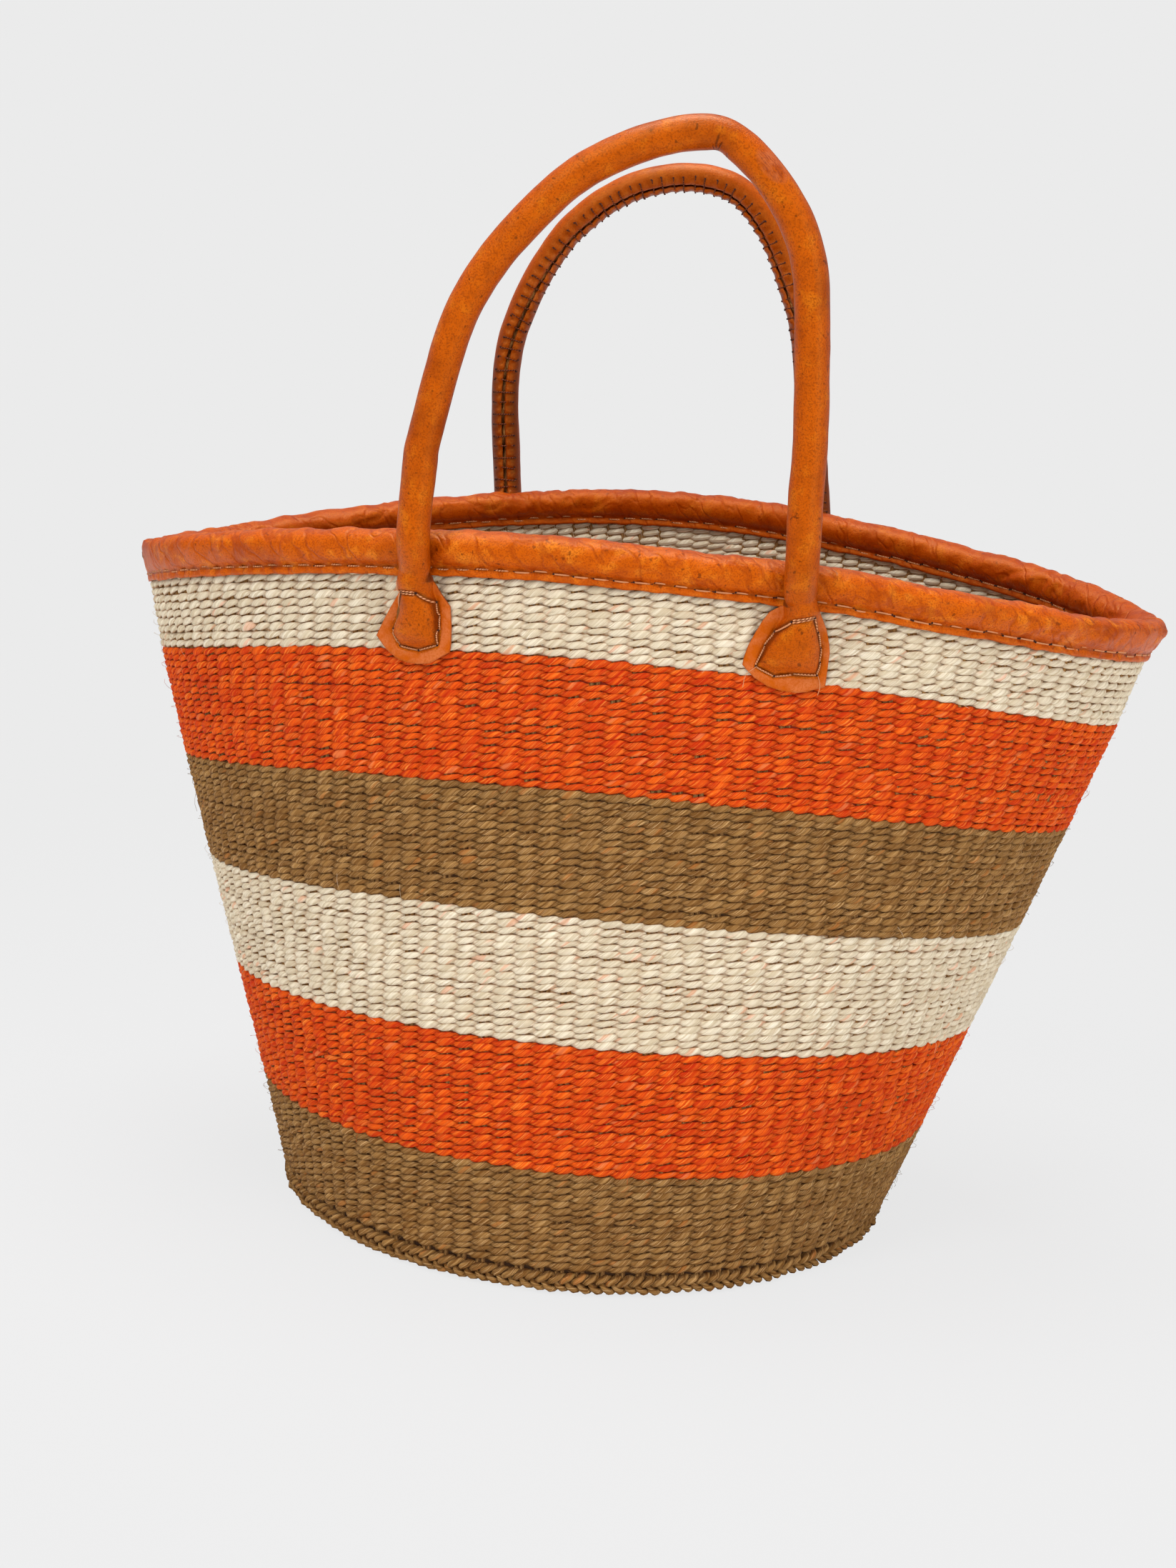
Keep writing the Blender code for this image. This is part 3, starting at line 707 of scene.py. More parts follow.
def gridPiece(name, points, lay, material, body, outward, thickness, closed=False):
    # points and lay are rows by columns, outward is a row, a column and a way out there
    rows, columns = points.shape[:2]
    bm = bmesh.new()
    bmesh.ops.create_grid(bm, x_segments=columns - 1, y_segments=rows - 1, size=0.5, calc_uvs=False)
    layLayer = bm.verts.layers.float_vector.new("lay")
    uvLayer = bm.loops.layers.uv.new("OFBake")
    for face in bm.faces:
        face.smooth = True
        for loop in face.loops:
            loop[uvLayer].uv = (loop.vert.co.x + 0.5, loop.vert.co.y + 0.5)
    for vert in bm.verts:
        row = round((vert.co.y + 0.5) * (rows - 1))
        column = round((vert.co.x + 0.5) * (columns - 1))
        vert[layLayer] = lay[row, column]
        vert.co = points[row, column]
    if closed:
        bmesh.ops.remove_doubles(bm, verts=bm.verts, dist=1e-6)
    bm.normal_update()
    row, column, way = outward
    wanted = Vector(points[row, column])
    nearest = min(bm.faces, key=lambda face: (face.calc_center_median() - wanted).length_squared)
    if nearest.normal.dot(Vector(way)) < 0:
        bmesh.ops.reverse_faces(bm, faces=bm.faces)
    mesh = bpy.data.meshes.new(name)
    bm.to_mesh(mesh)
    bm.free()
    item = finished(name, mesh, material)
    solid = item.modifiers.new("thickness", "SOLIDIFY")
    solid.thickness = thickness
    solid.offset = -1
    freeze(item)
    if body:
        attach(item, body)
    return item


def freeze(item):
    graph = bpy.context.evaluated_depsgraph_get()
    mesh = bpy.data.meshes.new_from_object(item.evaluated_get(graph), depsgraph=graph)
    item.modifiers.clear()
    item.data = mesh


def wave(x, y, z=0.0):
    return noise.noise(Vector((x, y, z)))


waves = np.vectorize(wave)

# Painted shade sheets: a dark sheet down the middle of the wall and across the floor, coloured as the shade seen
# through the spaces between the strands

shadeSheet = {
    "around": 180, "up": 5, "low": 0.0085, "high": 0.288, "thickness": 0.0004,
    "discRings": 9, "discRadius": 0.1315, "discHeight": 0.0029,
}


def shadeSheetPiece(name, points, yarn, outward):
    lay = np.zeros((*points.shape[:2], 3))
    item = gridPiece(name, points, lay, shadeSheetColours[yarn], "basket", outward, shadeSheet["thickness"], closed=True)


def buildShadeSheets():
    share = np.linspace(0, 1, shadeSheet["around"] + 1)[None]
    front = shadeSheet["around"] * 3 // 4
    lowest = 0.0
    for node, size, yarn in bands:
        highest = lowest + size
        ups = np.linspace(max(lowest, shadeSheet["low"]), min(highest, shadeSheet["high"]), shadeSheet["up"])[:, None]
        points = wallPoints(share, ups / wall["height"], -twining["wallMiddle"])
        shadeSheetPiece(bandName(node) + "ShadeSheet", points, yarn, (2, front, (0, -1, 0)))
        lowest = highest
    radius = np.linspace(0, shadeSheet["discRadius"], shadeSheet["discRings"])[:, None]
    turn = share * 2 * np.pi
    height = np.full((shadeSheet["discRings"], shadeSheet["around"] + 1), shadeSheet["discHeight"])
    disc = np.stack([radius * np.cos(turn) - wall["footBack"], radius * np.sin(turn), height], -1)
    shadeSheetPiece("floorShadeSheet", disc, "brown", (4, 0, (0, 0, 1)))


buildShadeSheets()

# The folded leather rim

rim = {
    "rows": 620, "columns": 45, "leather": 0.0012, "endTrim": (0.0030, 0.0058),  # right end, then left
    "stitchPitch": 0.0078, "stitchDrop": 0.0108, "innerStitchDrop": 0.0091,
    "stitchSeat": 0.0012, "innerStitchSeat": -0.0062,
    "slant": 62, "foldLift": 0.0017, "creaseDepth": 0.0011, "pucker": 0.00045, "ripple": 0.0006,
    "fade": 0.004, "clear": 0.001,  # how far below the top and over the seam the folds start
    "folds": ((15, 1, 0.04, 0.75), (40, 2, 0.09, 0.3)),  # size, lean, change across, share
    "creases": ((15, 1.2, 0.02, 0, 0.10, 0.8), (34, 2.2, 0.05, 9, 0.13, 0.5)),  # the same, start, width, depth
    "profile": (  # out from the wall and down from its top, in millimetres, from the outer lip to the inner one
        (1.9, 13.9), (2.3, 13.3), (2.1, 12.5), (1.5, 11.7), (1.1, 10.8), (1.9, 9.8), (3.8, 8.7), (5.2, 6.8),
        (6.0, 4.6), (6.2, 2.4), (5.6, 0.4), (4.2, -1.2), (2.2, -2.4), (-0.4, -3.1), (-2.6, -3.3), (-4.8, -3.1),
        (-7.2, -2.4), (-9.2, -1.2), (-10.6, 0.4), (-11.2, 2.4), (-11.0, 4.1), (-10.2, 5.8), (-8.8, 7.2),
        (-6.9, 8.2), (-6.1, 9.1), (-6.5, 9.9), (-7.1, 10.6), (-7.3, 11.2), (-6.9, 11.7),
    ),
}


def lengths(points):  # how far along the line each point lies
    return np.concatenate([[0], np.cumsum(np.linalg.norm(np.diff(points, axis=0), axis=1))])


def resample(points, count):  # evenly spaced along a line
    points = np.asarray(points, float)
    run = lengths(points)
    at = np.linspace(0, run[-1], count)
    return np.stack([np.interp(at, run, points[:, axis]) for axis in range(points.shape[1])], 1)


def rounded(points, count):  # a smooth line through the points, evenly spaced
    points = np.asarray(points, float)
    run = lengths(points)
    at = np.linspace(0, run[-1], count * 4)
    padded = np.concatenate([points[:1] * 2 - points[1:2], points, points[-1:] * 2 - points[-2:-1]])
    which = np.clip(np.searchsorted(run, at, side="right") - 1, 0, len(points) - 2)
    t = ((at - run[which]) / (run[which + 1] - run[which]))[:, None]
    a, b, c, d = (padded[which + step] for step in range(4))
    bend = (2 * a - 5 * b + 4 * c - d) * t ** 2 + (3 * b - a - 3 * c + d) * t ** 3
    return resample(b + ((c - a) * t + bend) / 2, count)


def rimPoint(share, out, drop):
    # the leather lies closer round the mouth's two ends
    around = np.cos(share * 2 * np.pi)
    right, left = rim["endTrim"]
    trim = np.where(around > 0, right, left) * np.abs(around) ** 14
    out = np.where(out > 0, out - trim * np.clip(out / 0.006, 0, 1), out)
    up = 1 - np.maximum(drop, 0) / wall["height"]
    points = wallPoints(share, up, out)
    points[..., 2] += np.maximum(-drop, 0)
    return points


def rimFolds(cx, cy, slant, columns):
    # low folds that lean along the rim, and the sharp creases between them
    folds = sum(waves(cx * size + slant * lean, cy * size, columns * rate) * share
                for size, lean, rate, share in rim["folds"])
    creases = -sum(
        np.exp(-(waves(cx * size + slant * lean, cy * size - slant, columns * rate + start) / width) ** 2) * depth
        for size, lean, rate, start, width, depth in rim["creases"])
    return folds, creases * np.clip(waves(cx * 6, cy * 6, 3.0) * 2 + 0.75, 0.15, 1.2)


def buildRim():
    profile = rounded(rim["profile"], rim["columns"]) * mm
    share = np.arange(rim["rows"] + 1) / rim["rows"]
    shares, columns = np.meshgrid(share, np.arange(len(profile)), indexing="ij")
    out, drop = profile[columns, 0], profile[columns, 1]
    along = shares * perimeter(1.0)
    cx, cy = np.cos(shares * 2 * np.pi), np.sin(shares * 2 * np.pi)
    way = np.where(out > -twining["wallMiddle"], 1.0, -1.0)
    seamDrop = np.where(way > 0, rim["stitchDrop"], rim["innerStitchDrop"])
    roll = np.clip((seamDrop - rim["clear"] - drop) / rim["fade"], 0, 1)
    top = np.clip((rim["clear"] - drop) / rim["fade"], 0, 1)
    folds, creases = rimFolds(cx, cy, drop * rim["slant"], columns)
    seam = np.exp(-((drop - seamDrop) / 0.003) ** 2)
    pucker = -np.cos(along / rim["stitchPitch"] * 2 * np.pi) * rim["pucker"] * seam
    lift = folds * rim["foldLift"] * (0.25 + roll) + creases * rim["creaseDepth"] * roll + pucker
    ripple = waves(cx * 30, cy * 30, 4.0 + way) * rim["ripple"] * np.clip((drop - seamDrop) / 0.003, 0, 1)
    points = rimPoint(shares, out + way * lift * (1 - top), drop - lift * top * 0.6 + ripple)
    edge = np.clip((drop - seamDrop) / 0.0012, 0, 1)
    groove = np.exp(-((drop - seamDrop) / 0.0009) ** 2)
    # the third number is the raw lower edge, less painted shade in the groove along the seam
    lay = np.stack([columns / len(profile), along, edge * 0.45 - groove * 0.7], -1)
    outward = (rim["rows"] * 3 // 4, 10, (0, -1, 0))
    item = gridPiece("rimLeather", points, lay, leathers["rim"], "basket", outward, rim["leather"], closed=True)
    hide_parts("rim_binding")


stitch = {
    "cover": 0.88, "points": 7, "rise": 0.0007, "sunk": 0.0004, "radius": 0.00036, "wander": 0.0004,
    "holeSize": 1.2, "holeStand": 0.00012,
}


def stitchRow(name, place, length, node):
    # running stitches that rise out of one hole and go into the next: place(along, across, out) gives a point
    count = int(length / rim["stitchPitch"])
    t = np.linspace(0, 1, stitch["points"])
    arch = np.sin(t * np.pi) ** 0.6 * stitch["rise"] - stitch["sunk"]
    plug = np.array([-stitch["sunk"], stitch["holeStand"]])
    lines, holes = [], []
    for index in range(count):
        start = (index + (1 - stitch["cover"]) / 2) * length / count
        end = start + stitch["cover"] * length / count
        shift = random.normal() * stitch["wander"]
        lines.append(place(start + (end - start) * t, np.full(len(t), shift), arch))
        # a dark plug at each end paints the shade in the thread's holes
        for at in (start, end):
            holes.append(place(np.array([at, at]), np.array([shift, shift]), plug))
    item = layThreads(name, lines, stitch["radius"], threads["tan"], "basket")
    dots = layThreads(name + "Holes", holes, stitch["radius"] * stitch["holeSize"], threads["hole"], "basket")
    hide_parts(node)


def buildRimStitches():
    length = perimeter(1.0)

    def outer(along, across, out):
        return rimPoint(along / length, rim["stitchSeat"] + out, rim["stitchDrop"] + across)

    def inner(along, across, out):
        return rimPoint(along / length, rim["innerStitchSeat"] - out, rim["innerStitchDrop"] + across)

    stitchRow("rimStitchOuter", outer, length, "rim_thread_outer")
    stitchRow("rimStitchInner", inner, length, "rim_thread_inner")


warpRoll = {
    "points": 400, "turns": 60, "middleOut": -0.0025, "middleDrop": 0.0032, "swing": 0.0019, "strand": 0.0020,
}


def buildWarpRoll():
    share = np.linspace(0, 1, warpRoll["points"] + 1)[:-1]
    turn = share * 2 * np.pi * warpRoll["turns"]
    swing = warpRoll["swing"]
    lines = [rimPoint(share, warpRoll["middleOut"] + swing * np.cos(turn + part),
                      warpRoll["middleDrop"] - swing * np.sin(turn + part))
             for part in np.arange(3) * 2 * np.pi / 3]
    shape = (warpRoll["strand"], warpRoll["strand"], 6)
    item = layStrands("warpRoll", lines, shape, materials["rope"], "basket", twist="MINIMUM")
    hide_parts("turned_warp_ends")


buildRim()
buildRimStitches()
buildWarpRoll()
print("rim bound")

# The handles: one strip of leather each, a tube round its rope that opens into a sewn flap at both ends

grip = {
    "radius": 0.0066, "neckRadius": 0.0061, "neckFade": 0.009, "leather": 0.0016,
    "legDistance": 0.12195, "hingeHeight": 0.2761, "bendFrom": 0.001, "bendTo": 0.018,  # two rises, in metres
    "columns": 45, "spacing": 0.0013, "length": 0.47, "openLength": 0.0075, "neckRise": 0.020,
    "footFrom": 0.284, "footHeight": 0.277, "seamGapDeg": 7,
    "turnDeg": {"front": 0.0, "back": -46.0}, "turnFrom": 0.335, "turnOver": 0.10,  # the seam's turn, by height
    "lumps": ((55, 1.0, 0.3, 0.0002), (18, 5.0, 3.0, 0.00022)), "fineLump": 0.00014,
    "pad": 0.00055, "edgeRise": 0.00012, "lipSink": 0.0006,
    "shade": 0.85, "shadeBelow": 0.40, "shadeOver": 0.06,
    "kinkAt": 0.2308, "kinkLength": 0.0045, "kinkDepth": 0.0010,
    "lines": {  # across and up, in millimetres, from the left leg to the right one
        "front": ((-73.6, 270), (-73.8, 299), (-72.5, 324.7), (-71.1, 336), (-62.1, 374.7),
                  (-53.3, 394.6), (-40.4, 412.9), (-20, 433.7), (1.3, 445.8), (20.8, 451.8), (35.1, 451.3),
                  (49.2, 441.4), (62, 425.1), (69.1, 408.2), (71.9, 388.4), (74.9, 346), (75, 321.8),
                  (75.7, 297.7), (75.5, 270)),
        "back": ((-75.5, 270), (-78.6, 298), (-79.5, 306.7), (-80.8, 320.5), (-82.1, 334.2), (-82.8, 350),
                 (-82.3, 361.6), (-80.8, 372.5), (-78, 382.2), (-72.9, 396), (-65.9, 409.8), (-57, 423.2),
                 (-49.6, 430.7), (-40, 438.8), (-24, 447.4), (-4, 452), (14, 450.8), (27.5, 444.3),
                 (41.1, 428.2), (52.1, 404.9), (59.2, 383.7), (65.5, 345), (69.5, 318), (72.5, 298), (75, 270)),
    },
}
flaps = {  # across and down from the neck's middle as seen from outside, in millimetres
    "left": {
        "neckDrop": 0.0197,
        "leftSide": ((-6.4, -4), (-6.4, -1), (-6.6, 0), (-7.4, 1.7), (-10.1, 6.5), (-12.3, 10.9),
                     (-15.1, 17.1)),
        "rightSide": ((7.2, -4), (7.7, -3), (8.9, -0.8), (11.2, 2), (14.2, 5.4), (15.1, 12.6), (15.4, 19.3),
                      (15.1, 22.7)),
        "bottom": ((-15.1, 17.1), (-13.4, 19.3), (-10.6, 22.7), (-6.1, 26), (-1.7, 27.3), (2.8, 27.7),
                   (7.3, 27.2), (10.6, 25.2), (15.1, 22.7)),
        "pocket": ((-4, -6.4, 7.2), (0, -6, 7.4), (4, -5.8, 9), (8, -5.6, 10), (12.6, -7.3, 10.3),
                   (16, -8.2, 10.8), (19, -6.6, 10.2), (22.4, -3, 6)),  # down, then its two sides
        "holes": ((-3.1, -0.2), (3.1, 0.2), (8.9, 4), (10.1, 9), (10.3, 14.5), (10, 20.2), (2.5, 22.4),
                  (-5.3, 20.9), (-8.7, 14.6), (-5.5, 7.6)),  # round the seam
        "strays": (((-5.9, -4.1), (-4.8, -1), (-3.1, -0.2)), ((-9, 0.2), (-6, -0.6), (-3.1, -0.2))),
    },
    "right": {
        "neckDrop": 0.0172,
        "leftSide": ((-6.6, -4), (-8.1, -3), (-11.4, -0.8), (-13.9, 3), (-16.4, 8), (-18.6, 12.9),
                     (-19.9, 17.3), (-20.4, 20.6)),
        "rightSide": ((7.2, -4), (7.5, -3), (8.9, -0.3), (10.5, 3), (11.9, 8), (12.5, 11.8), (12.2, 16.2),
                      (11.9, 21.7), (11.6, 25.3)),
        "bottom": ((-20.4, 20.6), (-18, 22.8), (-15.3, 25), (-9.8, 27.7), (-4.3, 28.8), (1.2, 28.8),
                   (5.1, 28), (8.4, 26.4), (11.6, 25.3)),
        "pocket": ((-4, -6.6, 7.2), (0, -6.2, 7), (4, -8, 7.4), (8, -10.2, 8.6), (12, -12, 9),
                   (16, -13.4, 9), (19, -14.2, 8.8), (23, -10, 6)),
        "holes": ((-4, 1.4), (4, -1.5), (6.7, 4.4), (8.8, 10.5), (8.9, 16), (8.4, 21.2), (-1, 21.9),
                  (-7.6, 23.5), (-15, 20.6), (-12.1, 12.1), (-9, 6.3)),
        "strays": (((-15, 20.6), (-18.6, 24), (-19.2, 29)), ((8.4, 21.2), (9.6, 25), (9.2, 28.6))),
    },
    "heights": ((-4, 13.0), (-1.5, 12.0), (0, 10.2), (3, 10.4), (8, 9.6), (12, 8.8), (16, 7.4), (19, 5.2),
                (22, 1.8)),
    "seat": 1.9, "rows": 36, "top": -4, "shift": 0.0005, "grooveWide": 1.0, "grooveDeep": 0.75,
    "wrinkleMiddle": (-9, 25), "wrinkleRate": 2.3, "wrinkleHigh": 0.22,
}


def wallAt(x, drop, out, side):  # a place on the wall by its x and its drop below the top
    up = 1 - drop / wall["height"]
    shares = np.linspace(0.5, 1.0, 400) if side < 0 else np.linspace(0.5, 0.0, 400)
    shares = np.clip(shares, 0.0001, 0.9999)
    across = wallPoints(shares, np.mean(up))[:, 0]
    return wallPoints(np.interp(x, across, shares), up, out)


def flapRise(shape, x, down):  # how far the flap's top stands off the wall, in millimetres, and how flat it is, less the painted shade in its stitch groove
    downs, left, right = zip(*shape["pocket"])
    left, right = np.interp(down, downs, left), np.interp(down, downs, right)
    share = np.clip(1 - np.abs((x * 2 - left - right) / (right - left)) ** 2.6, 0, 1) ** 0.55
    inside = share * np.clip((downs[-1] - down) / 3.5, 0, 1) ** 0.5
    height = np.interp(down, *zip(*flaps["heights"]))
    middleX, middleDown = flaps["wrinkleMiddle"]
    wrinkle = np.sin(np.hypot(x - middleX, down - middleDown) * flaps["wrinkleRate"]) * flaps["wrinkleHigh"]
    wrinkle = wrinkle * np.clip((down - 8) / 8, 0, 1) * (share > 0.2) * np.clip((3 - x) / 6, 0, 1)
    ring = np.array(shape["holes"] + shape["holes"][:1])
    near = np.full(np.shape(x), np.inf)
    for start, finish in zip(ring[:-1], ring[1:]):
        way = finish - start
        t = np.clip(((x - start[0]) * way[0] + (down - start[1]) * way[1]) / (way @ way), 0, 1)
        near = np.minimum(near, np.hypot(x - start[0] - t * way[0], down - start[1] - t * way[1]))
    groove = np.exp(-(near / flaps["grooveWide"]) ** 2)
    rise = flaps["seat"] + (height - flaps["seat"]) * inside + wrinkle * inside - flaps["grooveDeep"] * groove
    flat = 1 - np.clip(inside * 5, 0, 1)
    return rise, flat * (1 - groove) - groove


def sideAt(points, t):
    return resample(points, 101)[int(round(t * 100))]


def facing(side):  # the flap's own left is the other way round on the back
    return 1 if side < 0 else -1


def flapPoints(shape, footX, side, x, down, rise):
    return wallAt(footX + facing(side) * x * mm, shape["neckDrop"] + down * mm, rise * mm, side)


def flapRows(shape, footX, side, hand):
    # the flap's rows from its neck down, in the order of the tube's columns
    order = slice(None, None, -1 if hand == "right" else 1)
    bottom = np.array(shape["bottom"])
    rows, lays = [], []
    for t in np.linspace(0, 1, flaps["rows"]):
        left, right = sideAt(shape["leftSide"], t), sideAt(shape["rightSide"], t)
        u = np.linspace(0, 1, 200)
        x = left[0] + (right[0] - left[0]) * u
        edge = bottom[0] + (bottom[-1] - bottom[0]) * u[:, None]
        sag = np.interp(edge[:, 0], bottom[:, 0], bottom[:, 1]) - edge[:, 1]
        down = left[1] + (right[1] - left[1]) * u + sag * t ** 1.3
        rise, flat = flapRise(shape, x, down)
        # flat goes along at a hundredth, so that the spacing hardly counts it
        x, down, rise, flat = resample(np.stack([x, down, rise, flat * 0.01], 1), grip["columns"]).T
        rows.append(flapPoints(shape, footX, side, x, down, rise)[order])
        lays.append(np.stack([x * mm, down * mm, flat * 100], 1)[order])
    return np.array(rows), np.array(lays)


def eased(t):
    return t * t * (3 - 2 * t)


def gripFrame(line, side, turnDeg):
    ahead = np.gradient(line, axis=0)
    ahead /= np.linalg.norm(ahead, axis=1)[:, None]
    out = np.tile([0.0, float(side), 0.0], (len(line), 1))
    across = np.cross(ahead, out)
    across /= np.linalg.norm(across, axis=1)[:, None]
    out = np.cross(across, ahead)
    t = np.clip((line[:, 2] - grip["turnFrom"]) / grip["turnOver"], 0, 1)
    turn = (np.radians(turnDeg) * eased(t))[:, None]
    return across * np.cos(turn) + out * np.sin(turn), out * np.cos(turn) - across * np.sin(turn)


def gripLine(prefix, side, tops):
    # tops are the two places over the necks where the flaps' first rows are centred
    flat = rounded(np.array(grip["lines"][prefix]) * mm, 300)
    flat = flat[flat[:, 1] > grip["footFrom"]]
    x, z = np.concatenate([[tops[0][[0, 2]]], flat, [tops[1][[0, 2]]]]).T
    x, z = rounded(np.stack([x, z], 1), 300).T
    share = eased(np.clip((z - tops[0][2]) / grip["neckRise"], 0, 1))
    neck = (tops[0][1] + tops[1][1]) / 2
    y = neck + (side * grip["legDistance"] - neck) * share
    return resample(np.stack([x, y, z], 1), int(grip["length"] / grip["spacing"]))


def gripSize(line, side, kinked):
    # the tube's radius by place along and angle round, with its lumps, puckers and crease
    run = lengths(line)
    gap = 1 - grip["seamGapDeg"] / 180
    runs, around = np.meshgrid(run, np.linspace(-gap, gap, grip["columns"]) * np.pi, indexing="ij")
    toSeam = np.pi * gap - np.abs(around)
    nearEnd = np.minimum(runs, run[-1] - runs)
    size = grip["radius"] - (grip["radius"] - grip["neckRadius"]) * np.exp(-(nearEnd / grip["neckFade"]) ** 2)
    size += sum(waves(runs * rate, side * shift, start) * high for rate, shift, start, high in grip["lumps"])
    edge = np.exp(-(toSeam / 0.55) ** 2)
    pad = np.exp(-((toSeam - 0.35) / 0.35) ** 2)
    size += np.cos(runs / lacing["pitch"] * 2 * np.pi) * pad * grip["pad"] + edge * grip["edgeRise"]
    size -= np.exp(-(toSeam / 0.12) ** 2) * grip["lipSink"]
    size += waves(runs * 160, np.cos(around) * 1.4 + side, np.sin(around) * 1.4) * grip["fineLump"]
    if kinked:
        inner = np.clip(np.cos(around - np.pi / 2), 0, 1) ** 1.5
        size -= np.exp(-((runs - grip["kinkAt"]) / grip["kinkLength"]) ** 2) * inner * grip["kinkDepth"]
    return run, runs, around, size, edge


def joinNecks(tube, line, run, necks):
    # the tube's last rows ease into the first rows of its two flaps
    rows = int(grip["openLength"] / (run[-1] / len(line)))
    weight = eased(np.linspace(1, 0, rows + 1)[:-1])[:, None, None]
    for neck, end, order in ((necks[0], 0, slice(0, rows)), (necks[1], -1, slice(len(line) - rows, len(line)))):
        share = weight if end == 0 else weight[::-1]
        target = neck[None] + (line[order] - line[end])[:, None]
        tube[order] = tube[order] * (1 - share) + target * share


def buildHandle(prefix, side):
    keys = ("left", "right") if side < 0 else ("right", "left")
    ends = (grip["lines"][prefix][:3], grip["lines"][prefix][-3:])
    feet = [np.interp(grip["footHeight"], *zip(*sorted((z * mm, x * mm) for x, z in end))) for end in ends]
    rows, lays, tops = [], [], []
    for hand, key, footX in zip(("left", "right"), keys, feet):
        own = flapRows(flaps[key], footX, side, hand)
        rows.append(own[0])
        lays.append(own[1])
        middle = np.array(footX + facing(side) * flaps["shift"])
        drop = flaps[key]["neckDrop"] + flaps["top"] * mm
        tops.append(wallAt(middle, drop, grip["radius"], side).ravel())
    line = gripLine(prefix, side, tops)
    across, out = gripFrame(line, side, grip["turnDeg"][prefix])
    run, runs, around, size, edge = gripSize(line, side, prefix == "front")
    tube = (line[:, None] + across[:, None] * (np.sin(around) * size)[..., None]
            + out[:, None] * (np.cos(around) * size)[..., None])
    low = np.clip((grip["shadeBelow"] - line[:, 2]) / grip["shadeOver"], 0, 1)[:, None]
    shade = low * np.clip(0.3 - np.cos(around) * 1.4, 0, 1)  # darker low down on the side towards the basket
    tubeLay = np.stack([around, runs, edge * 0.5 - shade * grip["shade"]], -1)
    joinNecks(tube, line, run, (rows[0][0], rows[1][0]))
    points = np.concatenate([rows[0][:0:-1], tube, rows[1][1:]])
    lay = np.concatenate([lays[0][:0:-1], tubeLay, lays[1][1:]])
    outward = (len(points) // 4, grip["columns"] // 2, (0, side, 0))
    item = gridPiece(prefix + "HandleLeather", points, lay, leathers[prefix], None, outward, grip["leather"])
    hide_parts(prefix + "_handle_leather", prefix + "_left_flap", prefix + "_right_flap")
    blendHandle(item, prefix, side)
    for key, hand, footX in zip(keys, ("left", "right"), feet):
        buildFlapStitches(prefix, key, hand, footX, side)
    buildLacing(prefix, side, line, across, out, run)
    buildRope(prefix, side, line)


def blendHandle(item, prefix, side):
    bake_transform(item)


flapStitch = {  # in millimetres, apart from the radii
    "points": 9, "pairApart": 0.45, "wander": 0.12, "low": 0.25, "arch": 0.5, "plug": (-0.3, 0.28),
    "radius": 0.00035, "strayRadius": 0.4, "strayLow": 0.5, "strayRise": 0.6, "holeRadius": 0.0005,
}


def buildFlapStitches(prefix, key, hand, footX, side):
    shape = flaps[key]
    count = flapStitch["points"]

    def place(line, lift):
        rise, _ = flapRise(shape, line[:, 0], line[:, 1])
        return flapPoints(shape, footX, side, line[:, 0], line[:, 1], rise + lift)

    lines, radii, holes = [], [], []
    ring = np.array(shape["holes"] + shape["holes"][:1])
    t = np.linspace(0.06, 0.94, count)[:, None]
    lift = flapStitch["low"] + flapStitch["arch"] * np.sin(np.linspace(0, np.pi, count)) ** 0.5
    for index, (start, finish) in enumerate(zip(ring[:-1], ring[1:])):
        apart = flapStitch["pairApart"]
        for shift in ((-apart, apart) if index == 0 else (0.0,)):  # the neck's stitch is sewn twice
            wander = random.normal(size=2) * flapStitch["wander"]
            lines.append(place(start + (finish - start) * t + np.array([0.0, shift]) + wander, lift))
            radii.append(np.ones(count))
        # a dark plug paints the shade in each hole
        holes.append(place(start + np.zeros((2, 2)), np.array(flapStitch["plug"])))
    for stray in shape["strays"]:
        rising = flapStitch["strayLow"] + np.linspace(0, flapStitch["strayRise"], count)
        lines.append(place(rounded(stray, count), rising))
        radii.append(np.full(count, flapStitch["strayRadius"]))
    name = prefix + key.capitalize() + "Flap"
    item = layThreads(name + "Stitches", lines, flapStitch["radius"], threads["tan"], "basket", radii=radii)
    dots = layThreads(name + "Holes", holes, flapStitch["holeRadius"], threads["hole"], "basket", 8)
    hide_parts(f"{prefix}_{hand}_flap_thread")


lacing = {
    "pitch": 0.0052, "ends": 0.014, "points": 9, "halfDeg": 45, "halfSpread": 2, "slant": 0.0004,
    "stand": 0.0003, "sink": 0.0006, "radius": 0.00035, "holeRadius": 0.0004, "plug": (-0.0006, 0.0004),
}


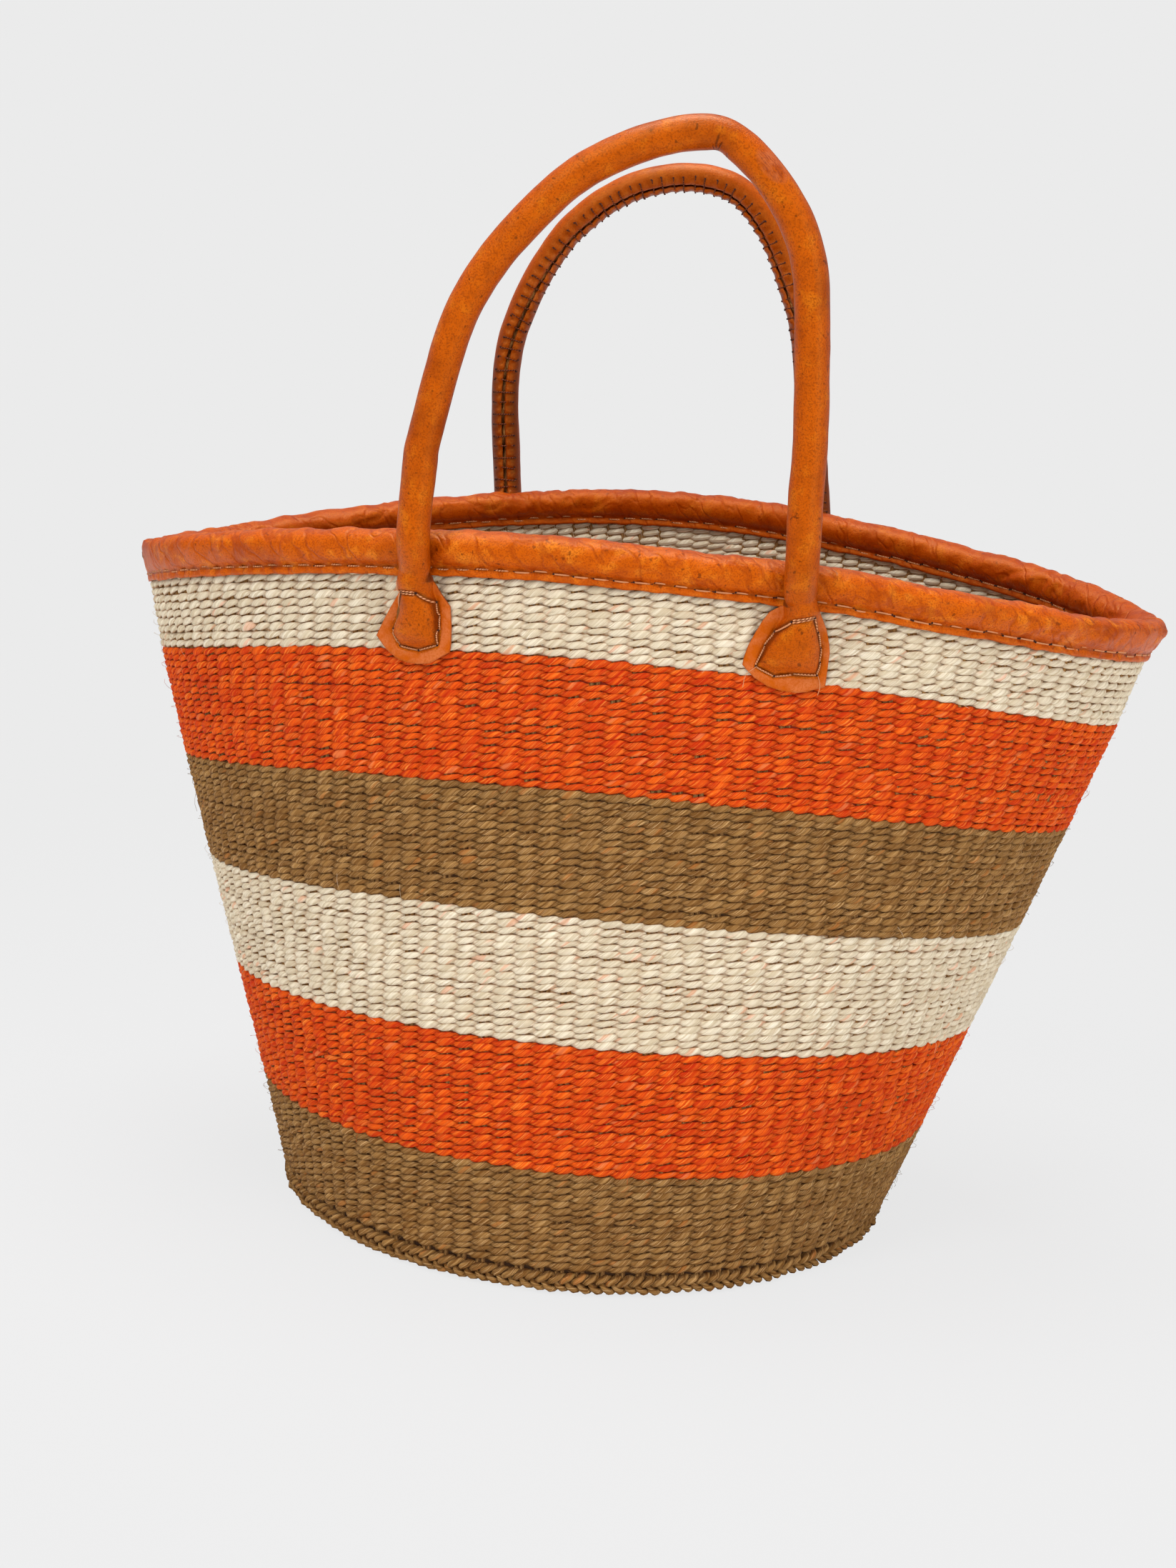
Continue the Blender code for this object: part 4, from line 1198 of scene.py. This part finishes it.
def buildLacing(prefix, side, line, across, out, run):
    lines, holes = [], []
    for at in np.arange(lacing["ends"], run[-1] - lacing["ends"], lacing["pitch"]):
        index = np.searchsorted(run, at)
        half = lacing["halfDeg"] + random.normal() * lacing["halfSpread"]
        turn = np.radians(np.linspace(180 - half, 180 + half, lacing["points"]))
        slant = np.linspace(-1, 1, lacing["points"]) * random.normal() * lacing["slant"]
        size = grip["radius"] + lacing["stand"] - lacing["sink"] * np.cos((turn - np.pi) * 2) ** 2
        ahead = line[min(index + 1, len(line) - 1)] - line[index - 1]
        ahead /= np.linalg.norm(ahead)
        sideways, outwards = (np.sin(turn) * size)[:, None], (np.cos(turn) * size)[:, None]
        rung = line[index] + across[index] * sideways + out[index] * outwards
        lines.append(rung + ahead * slant[:, None])
        # a dark plug at each end paints the shade in the lacing's holes
        for end in (0, -1):
            way = (rung[end] - line[index]) / np.linalg.norm(rung[end] - line[index])
            holes.append(rung[end] + way * np.array(lacing["plug"])[:, None])
    item = layThreads(prefix + "Lacing", lines, lacing["radius"], threads["lace"])
    dots = layThreads(prefix + "LacingHoles", holes, lacing["holeRadius"], threads["hole"])
    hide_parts(prefix + "_handle_lacing")
    for piece in (item, dots):
        blendHandle(piece, prefix, side)


rope = {"strands": 3, "halfTurns": 26, "swing": 0.0024, "strandRadius": 0.0028, "corners": 8}


def buildRope(prefix, side, line):
    turn = np.linspace(0, rope["halfTurns"] * np.pi, len(line))
    lines = []
    for strand in range(rope["strands"]):
        phase = turn + strand * 2 * np.pi / rope["strands"]
        lines.append(line + np.stack([np.cos(phase), np.sin(phase), np.zeros(len(line))], 1) * rope["swing"])
    item = layThreads(prefix + "Rope", lines, rope["strandRadius"], materials["rope"], corners=rope["corners"])
    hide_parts(prefix + "_handle_rope")
    blendHandle(item, prefix, side)


for prefix, side in (("front", -1), ("back", 1)):
    buildHandle(prefix, side)
print("handles sewn")

# The frame's own hidden pieces, and stray fibres

for node in ("front_left_rope_end", "front_right_rope_end", "back_left_rope_end", "back_right_rope_end"):
    mesh = bpy.data.objects[node].data
    mesh.materials.clear()
    mesh.materials.append(materials["rope"])

fuzz = {
    "count": 2300, "shortest": 0.0022, "longest": 0.0080, "radius": 0.00006, "corners": 4, "points": 4,
    "low": 0.006, "span": 0.272, "floor": 0.001, "headings": 0.9, "backwards": 0.3, "curl": 0.0008,
    "sunk": -0.0006, "arch": 0.0009, "stand": 0.0022,
}


def buildFuzz():
    heights = np.cumsum([0] + [size for _, size, _ in bands])
    wanted = {"cream": [], "orange": [], "brown": []}
    t = np.linspace(0, 1, fuzz["points"])
    for _ in range(fuzz["count"]):
        share, z = random.random(), fuzz["low"] + random.random() * fuzz["span"]
        yarn = bands[min(np.searchsorted(heights, z) - 1, len(bands) - 1)][2]
        long = fuzz["shortest"] + (fuzz["longest"] - fuzz["shortest"]) * random.random() ** 2
        heading = random.normal() * fuzz["headings"] + (np.pi if random.random() < fuzz["backwards"] else 0)
        # the wall is about a metre round, so a length sideways serves as a share of it
        sideways = np.cos(heading) * long * t
        rise = np.sin(heading) * long * t + random.normal() * fuzz["curl"] * t ** 2
        up = np.maximum(z + rise, fuzz["floor"])
        arch = fuzz["arch"] + fuzz["stand"] * random.random() ** 2
        out = fuzz["sunk"] + arch * np.sin(t * (0.6 + random.random() * 0.4) * np.pi)
        wanted[yarn].append(wallPoints(share + sideways, up / wall["height"], out))
    for yarn, lines in wanted.items():
        item = layThreads(yarn + "Fuzz", lines, fuzz["radius"], materials[yarn], "basket", fuzz["corners"])


buildFuzz()
print("fibres strayed")
